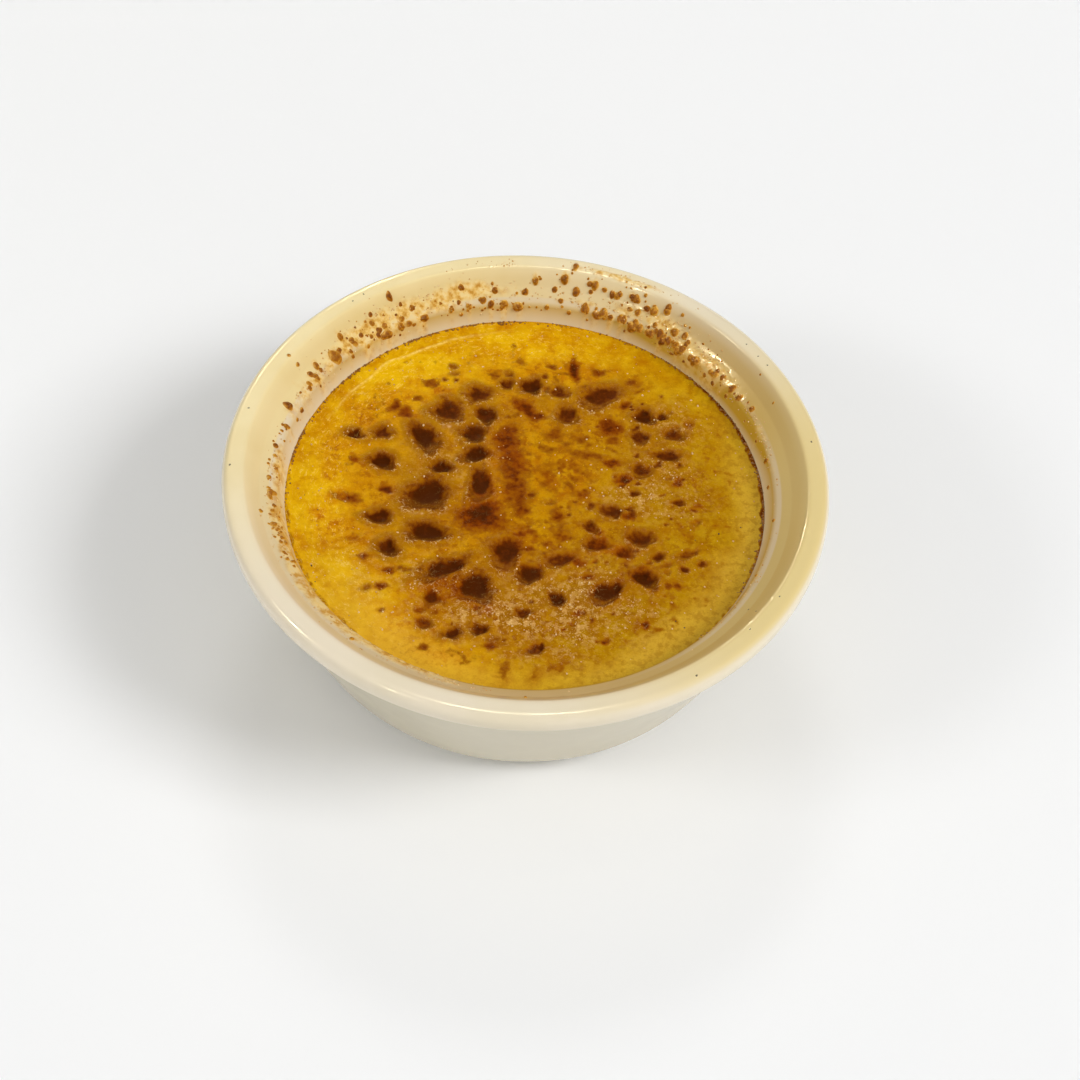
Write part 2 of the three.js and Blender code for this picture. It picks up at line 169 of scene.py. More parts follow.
# Scorched patches that aren't sunk at all: the same columns without the depth.
FLAT_SCORCHES = [
    (-3.8, 9.8, 4.2, 2.4, 93, 0.6), (-2.0, 1.5, 5.0, 2.4, 95, 0.58), (-8.8, -6.2, 5.0, 4.2, 0, 0.7),
    (5.2, 4.6, 4.6, 1.8, 100, 0.36), (11.0, 7.0, 3.4, 1.4, -30, 0.38), (-4.2, -36.0, 2.2, 1.2, -10, 0.45),
    (-1.9, -42.4, 2.4, 1.1, 80, 0.42), (4.0, -43.0, 1.6, 1.0, 90, 0.36), (9.3, -40.2, 2.0, 1.2, 60, 0.36),
    (11.8, -28.6, 1.8, 0.9, 0, 0.45), (14.5, -30.0, 1.0, 0.8, 0, 0.5), (22.8, -30.2, 2.0, 1.6, 0, 0.34),
    (29.0, -20.5, 1.3, 1.0, 0, 0.5), (27.1, -31.1, 0.9, 0.7, 0, 0.45), (28.1, -15.8, 1.0, 0.8, 0, 0.45),
    (3.5, 12.8, 3.2, 0.9, -12, 0.45), (10.5, 11.4, 3.0, 0.9, -14, 0.5), (16.0, 10.2, 2.4, 0.8, -10, 0.44),
    (5.4, 17.4, 1.8, 1.3, 0, 0.45), (7.6, 14.3, 1.3, 0.9, 0, 0.45), (11.7, 1.4, 1.7, 0.9, 90, 0.5),
    (6.5, -3.8, 1.8, 1.2, 0, 0.48), (6.9, -8.5, 2.5, 0.9, 0, 0.45), (-0.5, -8.2, 1.5, 0.9, 0, 0.46),
    (4.7, 8.2, 1.4, 1.0, 0, 0.4), (3.9, 3.4, 1.6, 1.2, 0, 0.42), (6.2, 34.2, 1.1, 0.8, 0, 0.4),
    (22.5, 30.5, 1.9, 0.6, 30, 0.42), (-35.3, 6.5, 1.4, 1.2, 0, 0.4), (-36.8, -3.2, 1.9, 1.2, 0, 0.42),
    (-33.4, -13.5, 1.5, 1.0, 0, 0.34),
]

# Zones of pinhole blisters among the froth: x, y, half width, half depth, count.
PINHOLE_ZONES = [
    (26, 2, 8, 9, 22), (24, -12, 10, 6, 16), (6, -31, 16, 5, 18), (-24, -26, 6, 6, 6), (24, 22, 8, 6, 10),
    (-8, 33, 16, 4, 8), (4, -4, 10, 5, 10),
]
PINHOLE_SEED = 3

# Broad soft fields where the custard is toffee brown: x, y, half width, half depth, strength.
TOFFEE_PLACES = [
    (8, 5, 11, 11, 0.64), (-4, 9, 6, 14, 0.88), (12, 19, 9, 8, 0.55), (3, -10, 14, 6, 0.7),
    (-14, 14, 12, 13, 0.3), (-7, 0, 5, 6, 0.8), (-13, -12, 14, 14, 0.35), (-33, 4, 5, 4, 0.5),
    (-30, -12, 4, 5, 0.4), (-27, 24, 4, 3, 0.45), (16, -14, 14, 12, 0.65), (-31, -3, 7, 6, 0.45),
    (-33, 19, 6, 7, 0.5), (3, 34, 13, 6, 0.45), (24, 10, 9, 12, 0.4), (9, 25, 12, 4, 0.3),
    (34, -4, 8, 22, 0.5), (26, -26, 9, 9, 0.5), (0, -31, 22, 10, 0.6), (-17, -31, 9, 7, 0.6),
    (-12, -40, 9, 3, 0.4), (8, -41, 8, 2.5, 0.4), (-1, -39.5, 9, 3.5, 0.45), (-34.9, 18.0, 2.6, 1.6, 0.8),
    (-39.4, 2.1, 1.8, 1.5, 0.7), (-35.3, 6.5, 1.6, 1.4, 0.9), (-40.6, 7.5, 1.1, 2.2, 0.7),
    (-36.8, -3.2, 2.2, 1.4, 0.9), (-41.3, -8.6, 2.6, 2.0, 0.7), (-44.4, -13.4, 1.4, 1.1, 0.7),
    (-33.4, -13.5, 1.7, 1.2, 0.9), (-26.2, 25.6, 2.2, 1.1, 0.7), (-19.1, 26.6, 2.6, 1.3, 0.8),
    (-15, -27, 9, 7, 0.9), (0, -19, 12, 6, 0.5), (-38, -12, 6, 5, 0.5), (-39, 8, 4, 6, 0.5),
]
# Where the sugar has frothed: the same columns.
FROTH_PLACES = [
    (-6, -29, 12, 6, 0.9), (6, -29, 12, 7, 1.0), (-14, -23, 9, 6, 0.5), (12, -22, 9, 6, 0.6),
    (27, 7, 7, 5, 0.7), (25, 1, 9, 4, 0.6), (20, -26, 7, 5, 0.6), (4, -37, 9, 4, 0.5),
    (29, 21, 6, 6, 0.4), (-14, 10, 9, 14, 0.3), (-30, -22, 7, 8, 0.25),
]
# Where the gold is brightest: the same columns.
BRIGHT_PLACES = [
    (-26, 31, 15, 11, 1.0), (4, 41, 14, 5, 0.7), (9, 32, 8, 5, 0.5), (-2, 41, 16, 6, 0.8),
    (-27, -31, 12, 12, 1.0), (-12, -41, 12, 5, 0.8), (-43, -8, 9, 18, 1.0), (-36, -25, 9, 9, 1.0),
    (9, 4, 5, 7, 0.55), (-38, 18, 6, 8, 0.5),
]
# Where the gold between the blisters is duller: the same columns.
DULL_PLACES = [
    (-19, 3, 13, 20, 0.85), (-4, -22, 18, 9, 0.75), (-15, -27, 10, 9, 1.0), (18, -10, 17, 16, 0.6),
    (23, 14, 14, 13, 0.6), (-3, 23, 18, 7, 0.8), (33, -17, 9, 10, 0.65), (2, -37, 15, 5, 0.5),
    (-33, -8, 6, 8, 0.35), (36, 4, 6, 14, 0.4),
]
# The scorched mottles fade out to the left between these places, and end at this radius.
CLEAR_LEFT = (-26, -36)
MOTTLED_RADIUS = 44
# A wet crease along the back left edge, raised a little and with a painted highlight: distance from the axis,
# azimuth, half spread.
CREASE = (45.2, 128, 24)
# The dark line of burnt sugar along the right edge: azimuth, half spread.
EDGE_BURN = (16, 40)
# Where the custard is browned further in from its edge: azimuth, half spread.
BROWNED_EDGE = (214, 36)
# The paler rind round the custard: the distances from the axis where it starts and is full.
RIND_RADII = (40.0, 45.8)
# Where it starts further in: azimuth, half spread, mm.
RIND_WIDER = [(216, 32, 3.5), (324, 20, 2.5)]
# Where it is thinner: azimuth, half spread.
RIND_THIN = (274, 20)
# Where it is missing: azimuth, then how far to each side it begins and how far it is whole.
RIND_FREE = (120, 80, 125)
# Black flecks on top: x, y.
BLACK_FLECKS = [(-44, -3.6), (-41, -7.2), (-37.3, -15.1), (-40.6, -21.2), (-39.4, -25.1),
                (38.9, -6.4), (34.2, -8.4), (43.3, -4.5), (32.1, -30.2), (30.4, -28.8)]

# ---- Caramel on the inside of the dish ------------------------------------------------------
# The largest drops: azimuth in degrees, distance from the axis, width, length down the wall, in mm.
LARGE_DROPS = [
    (47.7, 49.5, 3.4, 1.8), (57.3, 49.4, 1.7, 2.0), (65.9, 49.4, 2.5, 2.3), (59.6, 54.6, 1.5, 1.9),
    (75.3, 49.5, 2.4, 1.8), (82.4, 56.8, 1.5, 2.2), (84.4, 54.2, 2.1, 2.3), (91.0, 53.6, 1.6, 2.0),
    (95.0, 49.3, 2.6, 2.1), (108.3, 53.2, 1.5, 1.9), (118.9, 49.6, 2.4, 1.6), (129.6, 49.4, 3.2, 2.1),
    (125.2, 54.7, 1.4, 2.6), (144.5, 50.9, 2.7, 3.8), (140.3, 53.0, 1.5, 2.2), (163.3, 51.5, 2.0, 2.4),
]
# Smaller drops: azimuth from, to, distance from, to, count.
DROP_ZONES = [
    (22, 52, 49.6, 51.0, 6), (52, 112, 49.5, 50.0, 8), (60, 132, 50.8, 54.4, 8),
    (112, 156, 49.6, 52.0, 6), (168, 205, 49.8, 51.4, 4),
]
DROP_SEED = 7
SMALL_DROP_WIDTH = (1.2, 1.8)
SMALL_DROP_STRETCH = (0.9, 1.4)
DROP_CLEARANCE = 0.5
DROP_RISE = 0.34
# How uneven the outlines of drops and specks are.
DROP_LOBES = 0.15
SPECK_LOBES = 0.13
# Spatter too small for the solid: azimuth, distance from the axis.
FINE_DROPS = [
    (4.9, 48.9), (12, 49.3), (31.7, 49.9), (34.7, 49.1), (39.9, 49.0), (42.9, 49.1), (48.1, 52.7),
    (53.8, 50.1), (54.2, 53.5), (55.9, 54.6), (62.7, 53.8), (65.6, 54.9), (68.1, 53.8), (73.3, 49.5),
    (78, 53.1), (82.2, 49.2), (84.6, 50.7), (87.8, 49.4), (99.2, 49.2), (101.3, 49.2), (109.4, 49.1),
    (121.9, 49.3), (123.3, 53.1), (131, 53.5), (135.3, 49.3), (140.3, 49.3), (153.6, 56.1),
    (153.5, 54.1), (154.7, 50.7), (161.6, 49.3), (164.5, 49.2), (179.2, 49.7), (187.5, 51.0),
    (190.3, 50.6), (193.5, 49.3), (198.3, 50.1), (195, 52.9), (210.1, 50.1), (234, 51.8),
    (272.6, 53.1), (336.7, 49.6), (353.6, 49.6),
]
# Random specks of caramel: azimuth, half spread, distance from the axis, half spread, count, widths.
SPECK_ZONES = [
    (70, 35, 53.5, 2.6, 36, 0.25, 0.8), (125, 30, 51.5, 2.4, 56, 0.25, 0.9),
    (45, 22, 50.0, 1.6, 50, 0.25, 0.8), (185, 28, 50.5, 1.6, 40, 0.25, 0.8),
    (100, 30, 49.3, 0.6, 30, 0.25, 0.8), (200, 16, 50.0, 1.3, 22, 0.5, 1.4),
    (58, 22, 49.9, 0.7, 36, 0.9, 2.0), (66, 18, 53.6, 2.2, 14, 1.1, 2.2),
    (128, 26, 50.6, 1.6, 26, 0.8, 1.6), (188, 14, 50.6, 0.8, 8, 0.8, 1.4),
]
# Where the specks are paler: azimuth from, to.
PALE_SPECKS = (176, 260)
# The least and greatest distance from the axis for random specks and grains.
SPATTER_RADII = (48.9, 58.0)
# Dark specks in the glaze: azimuth, distance from the axis.
IRON_SPECKS = [(11, 57.6), (33, 57.4), (36, 57.2), (40, 57.3), (130, 57.3), (133, 57.0), (170, 57.3),
               (185, 58.3), (320, 56.6), (330, 56.7), (325, 54.6), (326, 52.6), (305, 58.2)]
IRON_LOBES = 0.3
IRON_RISE = 0.12
# Places tried for grains and for crumbs, and the range of their radii in mm.
GRAIN_TRIES = 60000
CRUMB_TRIES = 6000
GRAIN_RADII = (0.1, 0.3)
# Grains for each degree of dried film: on the right, before an azimuth, and elsewhere.
RIGHT_FILM_GRAINS = 16
RIGHT_FILM_END = 70
FILM_GRAINS = 8
# Where crumbs gather besides the burnt edge: azimuth, half spread.
CRUMB_CLUMPS = (134, 46)
# The azimuth about which crumbs are pale.
PALE_CRUMBS = 220
PIECES_SEED = 5

# ---- Camera and lights ----------------------------------------------------------------------
CAMERA_DISTANCE = 0.4
CAMERA_ELEVATION = math.radians(49.89)
CAMERA_ROLL = math.radians(3.83)
AIM_HEIGHT = 40.2 * MM
FRAME_PIXELS = 1080
FOCAL_PIXELS = 2020.0
RIM_MIDDLE_PIXEL = (527.25, 470.51)
SENSOR_MM = 36.0
# Small far lights that only make sparkles: azimuth and elevation in degrees.
GLINTS = [(104, 27), (118, 31), (62, 80), (120, 81), (176, 52)]
# Area lights: name, azimuth, elevation, distance and size in metres, watts, seen only in reflections.
SOFTBOXES = [
    ("key_right", -15, 42, 2.5, (0.9, 0.9), 36.0, False),
    ("fill_left", 202, 34, 1.2, (0.35, 0.25), 3.0, False),
    ("glint_left", 228, 45, 1.0, (0.05, 0.03), 1.6, True),
    *[(f"glint_back_{number}", *glint, 1.0, (0.03, 0.03), 2.8, True) for number, glint in enumerate(GLINTS)],
    ("fill_back", 95, 45, 1.5, (0.4, 0.3), 2.8, False),
]
KEY_COLOUR = (1, 0.98, 0.95)
GLINT_COLOUR = (1, 0.88, 0.58)
SKY_COLOUR = (1.0, 0.975, 0.92, 1)
# The sky's strength in front and behind.
SKY_STRENGTHS = (0.6, 0.28)
FLOOR_REACH = 3.0
FLOOR_CLEARANCE = 0.2 * MM


# ---- Numbers --------------------------------------------------------------------------------
def random_stream(seed):
    """The same repeatable numbers between 0 and 1 as the solid's small drops use."""
    state = seed
    while True:
        state = (state * 1664525 + 1013904223) % 4294967296
        yield state / 4294967296


def smoothstep(low, high, value):
    t = np.clip((value - low) / (high - low), 0, 1)
    return t * t * (3 - 2 * t)


def lattice(i, j, seed):
    """A repeatable value between 0 and 1 for each whole-number point of the plane."""
    mixed = (i * 374761393 + j * 668265263 + seed * 974634777) & 0xFFFFFFFF
    mixed = ((mixed ^ (mixed >> 13)) * 1274126177) & 0xFFFFFFFF
    return ((mixed ^ (mixed >> 16)) & 0xFFFF) / 65535


def noise(x, y, size, seed):
    """Smooth bumps about `size` across, between -1 and 1."""
    u, v = x / size, y / size
    i, j = np.floor(u).astype(np.int64), np.floor(v).astype(np.int64)
    s, t = smoothstep(0, 1, u - i), smoothstep(0, 1, v - j)
    near = lattice(i, j, seed) * (1 - s) + lattice(i + 1, j, seed) * s
    far = lattice(i, j + 1, seed) * (1 - s) + lattice(i + 1, j + 1, seed) * s
    return 2 * (near * (1 - t) + far * t) - 1


def rough(x, y, size, seed):
    """Bumps of three sizes, the largest about `size` across."""
    return (noise(x, y, size, seed) + 0.5 * noise(x, y, size / 2.1, seed + 1)
            + 0.25 * noise(x, y, size / 4.3, seed + 2)) / 1.4


def bubbles(x, y, size, seed):
    """Domes side by side, about `size` apart: 1 on top of each and 0 between them."""
    u, v = x / size, y / size
    i, j = np.floor(u).astype(np.int64), np.floor(v).astype(np.int64)
    nearest = np.full(np.shape(u), 9.0)
    for di in (-1, 0, 1):
        for dj in (-1, 0, 1):
            a, b = i + di, j + dj
            across = a + lattice(a, b, seed) - u
            along = b + lattice(a, b, seed + 1) - v
            nearest = np.minimum(nearest, across ** 2 + along ** 2)
    return np.clip(1 - nearest / 0.5, 0, 1)


def turned_apart(azimuth, other):
    """The angle in degrees from one azimuth to the first, from -180 to 180."""
    return (azimuth - other + 180) % 360 - 180


def sector(azimuth, middle, spread):
    """1 about an azimuth, falling steeply to 0 past the half spread on each side of it."""
    return np.exp(-((turned_apart(azimuth, middle) / spread) ** 4))


# ---- Meshes ---------------------------------------------------------------------------------
def new_object(name, points, faces, material, attributes=None):
    """A smooth-shaded triangle mesh, with one number per point for each named attribute."""
    mesh = bpy.data.meshes.new(name)
    mesh.vertices.add(len(points))
    mesh.vertices.foreach_set("co", np.asarray(points, dtype=np.float32).ravel())
    mesh.loops.add(faces.size)
    mesh.loops.foreach_set("vertex_index", np.asarray(faces, dtype=np.int32).ravel())
    mesh.polygons.add(len(faces))
    mesh.polygons.foreach_set("loop_start", np.arange(0, faces.size, 3, dtype=np.int32))
    mesh.update(calc_edges=True)
    mesh.shade_smooth()
    for label, values in (attributes or {}).items():
        kind, slot = ("FLOAT", "value") if np.ndim(values) == 1 else ("FLOAT_VECTOR", "vector")
        layer = mesh.attributes.new(label, kind, "POINT")
        layer.data.foreach_set(slot, np.asarray(values, dtype=np.float32).ravel())
    mesh.materials.append(material)
    made = bpy.data.objects.new(name, mesh)
    bpy.context.scene.collection.objects.link(made)
    return made


def rounded_profile(corners, chord):
    """Corners are (radius, height, fillet); a fillet becomes an arc with chords of about that length."""
    points = []
    for i, (radius, height, fillet) in enumerate(corners):
        corner = np.array([radius, height])
        if not fillet:
            points.append(corner)
            continue
        before = np.array(corners[i - 1][:2]) - corner
        after = np.array(corners[i + 1][:2]) - corner
        before /= np.linalg.norm(before)
        after /= np.linalg.norm(after)
        half = math.acos(before @ after) / 2
        middle = (before + after) / np.linalg.norm(before + after)
        centre = corner + middle * fillet / math.sin(half)
        start = corner + before * fillet / math.tan(half) - centre
        turn = math.copysign(math.pi - 2 * half, after[0] * before[1] - after[1] * before[0])
        chords = max(3, math.ceil(abs(turn) * fillet / chord))
        for angle in np.linspace(0, turn, chords + 1):
            cosine, sine = math.cos(angle), math.sin(angle)
            points.append(centre + [start[0] * cosine - start[1] * sine, start[0] * sine + start[1] * cosine])
    return np.array(points)


def with_steps(profile, inner_step, outer_step):
    """Adds points along the straights: close together on the inside above the custard, else wide."""
    points = [profile[0]]
    for before, after in zip(profile[:-1], profile[1:]):
        middle = (before + after) / 2
        shows = middle[1] > CUSTARD_EDGE_HEIGHT - 1 * MM and middle[0] < RIM_RADIUS - 1.5 * MM
        step = inner_step if shows else outer_step
        parts = max(1, math.ceil(np.linalg.norm(after - before) / step))
        points += [before + (after - before) * (k + 1) / parts for k in range(parts)]
    return np.array(points)


def revolved(profile, segments):
    """Points and triangles of a closed body turned from a profile that starts and ends on the axis."""
    rings = profile[1:-1]
    angles = np.arange(segments) * 2 * math.pi / segments
    x = rings[:, :1] * np.cos(angles)
    y = rings[:, :1] * np.sin(angles)
    z = np.repeat(rings[:, 1:], segments, axis=1)
    points = np.stack([x, y, z], axis=-1).reshape(-1, 3)
    step = np.arange(segments)
    following = (step + 1) % segments
    faces = []
    for ring in range(len(rings) - 1):
        a, b = ring * segments + step, ring * segments + following
        c, d = b + segments, a + segments
        faces += [np.stack([a, b, c], 1), np.stack([a, c, d], 1)]
    last = (len(rings) - 1) * segments
    ends = len(points)
    points = np.vstack([points, [[0, 0, profile[0, 1]], [0, 0, profile[-1, 1]]]])
    faces.append(np.stack([following, step, np.full(segments, ends)], 1))
    faces.append(np.stack([last + step, last + following, np.full(segments, ends + 1)], 1))
    return points, np.vstack(faces)


def icosphere():
    """The 12 points and 20 faces of a regular icosahedron of radius 1."""
    golden = (1 + math.sqrt(5)) / 2
    points = []
    for a in (-1, 1):
        for b in (-golden, golden):
            points += [(0, a, b), (a, b, 0), (b, 0, a)]
    points = np.array(points, dtype=float)
    points /= np.linalg.norm(points[0])
    gap = np.linalg.norm(points[:, None] - points[None], axis=-1)
    near = (gap > 0.1) & (gap < 1.2)
    faces = []
    for a in range(12):
        for b in range(a + 1, 12):
            for c in range(b + 1, 12):
                if near[a, b] and near[b, c] and near[a, c]:
                    outward = np.cross(points[b] - points[a], points[c] - points[a]) @ points[a] > 0
                    faces.append((a, b, c) if outward else (a, c, b))
    return points, np.array(faces)


def dome_shape(sides, bands):
    """A sphere of radius 1 with its poles along Z."""
    polar = np.linspace(0, math.pi, bands + 1)
    profile = np.stack([np.sin(polar), -np.cos(polar)], axis=1)
    return revolved(profile, sides)


def copies(shape, frames, centres):
    """Joins one copy of shape per frame, whose columns are its scaled axes."""
    points, faces = shape
    if points.ndim == 2:
        points = np.broadcast_to(points, (len(centres),) + points.shape)
    placed = np.einsum("nij,nkj->nki", frames, points) + centres[:, None]
    joined = faces[None] + np.arange(len(centres))[:, None, None] * points.shape[1]
    return placed.reshape(-1, 3), joined.reshape(-1, 3)


def lobed(shape, count, amount, rng):
    """One dome for each of count drops, each with an outline of its own."""
    points, faces = shape
    angle = np.arctan2(points[:, 1], points[:, 0])
    spread = np.ones((count, len(points)))
    for waves in (2, 3, 5):
        phase = rng.uniform(0, 2 * math.pi, (count, 1))
        spread += amount / waves * rng.uniform(0.4, 1.6, (count, 1)) * np.sin(waves * angle + phase)
    placed = np.repeat(points[None], count, axis=0)
    placed[:, :, :2] *= spread[:, :, None]
    placed[:, :, 2] *= 1 + 0.15 * np.sin(3 * angle + rng.uniform(0, 2 * math.pi, (count, 1)))
    return placed, faces


def random_turns(count, rng):
    """A random rotation matrix for each of count grains."""
    turned, _ = np.linalg.qr(rng.standard_normal((count, 3, 3)))
    return turned * np.sign(np.linalg.det(turned))[:, None, None]


def grains(centres, sizes, rng, flatness=0.75, roughness=0.15):
    """Joined uneven grains, one at each centre."""
    count = len(centres)
    points, faces = icosphere()
    uneven = points[None] * (1 + roughness * rng.standard_normal((count, 12, 1)))
    frames = random_turns(count, rng) * (sizes * rng.uniform(flatness, 1, (3, count))).T[:, None, :]
    return copies((uneven, faces), frames, centres)


# ---- Custard --------------------------------------------------------------------------------
def inner_radius(z):
    return LEDGE_RADIUS - (LEDGE_HEIGHT - z) * WALL_TAPER


CUSTARD_RADIUS = inner_radius(CUSTARD_EDGE_HEIGHT) + WALL_BITE


def field(x, y, places):
    """The strongest of a set of soft round fields, with x and y in mm."""
    value = np.zeros_like(x)
    for px, py, half_x, half_y, strength in places:
        t = np.hypot((x - px) / half_x, (y - py) / half_y)
        value = np.maximum(value, strength * np.exp(-t ** 2))
    return value


def lobes(angle, mx, my):
    """How much further out a mark's outline lies in each direction, different for every mark."""
    uneven = 1.0
    for waves, amount in ((2, 0.09), (3, 0.10), (5, 0.05)):
        phase = 2 * math.pi * lattice(int(mx * 10), int(my * 10), waves)
        uneven = uneven + amount * np.sin(waves * angle + phase)
    return uneven


def pinholes():
    """Small blisters in the columns of the tables of marks."""
    stream = random_stream(PINHOLE_SEED)
    marks = []
    for px, py, half_x, half_y, count in PINHOLE_ZONES:
        for _ in range(count):
            turn, out = 2 * math.pi * next(stream), math.sqrt(next(stream)) * 1.3
            size, dark = 0.35 + 0.5 * next(stream) ** 2, 0.42 + 0.3 * next(stream)
            place = (px + out * half_x * math.cos(turn), py + out * half_y * math.sin(turn))
            marks.append((*place, size * 1.25, size, 60 * next(stream), dark, 0.35 * size))
    return marks


def lift(shares, name, value):
    """Keeps the larger of a share and a new value."""
    shares[name] = np.maximum(shares[name], value)


def out_from(mark, x, y):
    """How far out points lie in a mark: 0 in its middle and 1 at its outline."""
    mx, my, half_length, half_width, turn = mark[:5]
    angle = math.radians(turn)
    dx, dy = x - mx, y - my
    u = (dx * math.cos(angle) + dy * math.sin(angle)) / half_length
    v = (-dx * math.sin(angle) + dy * math.cos(angle)) / half_width
    return np.hypot(u, v) * lobes(np.arctan2(v, u), mx, my)


def add_blister(shares, mark, t, y):
    """A pit with a raised lip, dark brown inside, with clear caramel and a painted sheen on the side towards
    the viewer.
    """
    _, my, _, half_width, _, darkness, depth = mark
    far = np.clip((y - my) / half_width, -1, 1)
    pit = np.exp(-(t ** 4))
    lip = np.exp(-(((t - LIP_PLACE) / LIP_SPREAD) ** 2))
    shares["relief"] += LIP_RISE / MM * min(1, half_width / FULL_LIP_WIDTH) * lip * (1 - 0.4 * far)
    shares["relief"] -= depth * pit * (1 + 0.3 * far)
    lift(shares, "inside", pit)
    reach = t - 0.15 * np.maximum(far, 0) + 0.36 * np.maximum(-far, 0)
    lift(shares, "scorch", darkness * smoothstep(1.5, 0.5, reach))
    lift(shares, "scorch", 0.58 * darkness * smoothstep(2.05, 1.0, t))
    lift(shares, "olive", darkness * smoothstep(2.6, 1.3, t))
    near = smoothstep(0.1, -0.5, far)
    # Painted sheen: the inside towards the viewer is lighter, clear caramel catching light from behind.
    lift(shares, "glass", 1.3 * depth * near * np.exp(-(((t - 0.76) / 0.32) ** 2)))
    # Painted highlight along the near lip.
    lift(shares, "shine", darkness * near * np.exp(-(((t - LIP_PLACE) / 0.2) ** 2)))


def add_scorch(shares, mark, t):
    """A soft brown patch, hardly sunk, in an orange glow."""
    darkness, depth = mark[5:]
    shares["relief"] -= 0.6 * depth * np.exp(-(t ** 3))
    lift(shares, "scorch", 1.08 * darkness * np.exp(-(t / 1.2) ** 2.4))
    lift(shares, "glow", 1.1 * darkness * np.exp(-(t / 1.9) ** 2))


def burnt_marks(x, y):
    """The relief in mm and the shares that the tables of marks give."""
    across, along = 0.8 * x + 0.6 * y, 0.8 * y - 0.6 * x
    outline_x = x + 0.26 * noise(across, along, 1.9, 11) + 0.1 * noise(across, along, 0.9, 12)
    outline_y = y + 0.26 * noise(across, along, 1.9, 13) + 0.1 * noise(across, along, 0.9, 14)
    names = ("relief", "inside", "scorch", "olive", "glass", "shine", "glow")
    shares = {name: np.zeros_like(x) for name in names}
    for mark in WELLS + pinholes():
        add_blister(shares, mark, out_from(mark, outline_x, outline_y), y)
    for mark in SCORCHES + [(*mark, 0) for mark in FLAT_SCORCHES]:
        add_scorch(shares, mark, out_from(mark, outline_x, outline_y))
    shares["glass"] = np.clip(shares["glass"], 0, 1)
    return shares


def edge_share(x, y, radius, azimuth):
    """The brown line along the custard's edge."""
    margin = CUSTARD_RADIUS / MM - radius - 0.3 * sector(azimuth, *EDGE_BURN)
    margin = margin - 0.6 * sector(azimuth, *BROWNED_EDGE) + 0.4 * noise(x, y, 1.2, 62)
    return smoothstep(0.9, 0.2, margin)


def rind_share(x, y, radius, azimuth):
    """The paler rind round the custard."""
    missing, none, full = RIND_FREE
    wider = sum(reach * sector(azimuth, middle, spread) for middle, spread, reach in RIND_WIDER)
    rind = smoothstep(*RIND_RADII, radius + wider + 1.6 * noise(x, y, 4.2, 65))
    rind *= smoothstep(none, full, np.abs(turned_apart(azimuth, missing)))
    return rind * (1 - 0.6 * np.exp(-((turned_apart(azimuth, RIND_THIN[0]) / RIND_THIN[1]) ** 2)))


def crease_share(radius, azimuth):
    """The wet crease along the back left edge, with its painted highlight."""
    distance, middle, spread = CREASE
    away = radius - distance - 0.5 * noise(azimuth, azimuth * 0, 7.0, 63)
    return sector(azimuth, middle, spread) * np.exp(-((away / 0.28) ** 2))


def custard_shares(x, y, radius, azimuth):
    """The shares that colour the custard's top, and the relief of its marks, at places in mm."""
    shares = burnt_marks(x, y)
    lift(shares, "olive", 0.7 * field(x, y, DULL_PLACES) * (1 + 0.4 * rough(x, y, 5.0, 27)))
    toffee = field(x, y, TOFFEE_PLACES)
    mottles = 0.5 * smoothstep(0.2, 1.5, rough(x, y, 2.3, 21) + toffee) * (radius < MOTTLED_RADIUS)
    lift(shares, "scorch", mottles * (1 - smoothstep(*CLEAR_LEFT, x + 0.3 * y)))
    toffee = np.maximum(toffee * (1 + 0.6 * rough(x, y, 4.0, 25)), shares["glow"])
    toffee = np.clip(toffee, 0, 1)
    shares["toffee"] = toffee
    shares["glass"] *= 1 - toffee
    shares["shine"] *= 1 - 0.7 * toffee
    shares["olive"] *= 1 - 0.6 * toffee
    froth = field(x, y, FROTH_PLACES) * (1 - 0.85 * shares["inside"])
    shares["froth"] = np.clip(froth * (0.9 + 0.9 * rough(x, y, 2.8, 31)), 0, 1)
    shares["bright"] = field(x, y, BRIGHT_PLACES)
    shares["ochre"] = smoothstep(-18, 40, x - 0.35 * y)
    # Painted highlights go on this wet back left edge as streaks; it also gets low bumps and gloss.
    shares["wet"] = smoothstep(34, 40, radius) * smoothstep(10, -25, x - 0.5 * y)
    shares["crease"] = crease_share(radius, azimuth)
    shares["rind"] = rind_share(x, y, radius, azimuth)
    edge = edge_share(x, y, radius, azimuth)
    lift(shares, "scorch", 0.66 * edge * sector(azimuth, *EDGE_BURN))
    lift(shares, "scorch", 0.3 * edge)
    return shares


def custard_relief(x, y, radius, azimuth, shares):
    """The height in mm of the marks, the crease, the froth's bubbles and low bumps."""
    inside = shares["inside"]
    relief = shares["relief"] + 0.16 * shares["crease"]
    relief += 0.06 * shares["wet"] * rough(azimuth * 0.8, radius * 2.2, 1.6, 64)
    frothy = 0.10 * shares["froth"] * (0.5 + 0.5 * noise(x, y, 1.7, 47))
    relief += frothy * bubbles(x, y, 1.25, 41) + 0.02 * bubbles(x, y, 0.8, 43) * (1 - inside)
    relief += (0.03 + 0.03 * shares["ochre"]) * (1 - 0.5 * inside) * noise(x, y, 1.1, 45)
    return relief + 0.10 * noise(x, y, 2.6, 46)


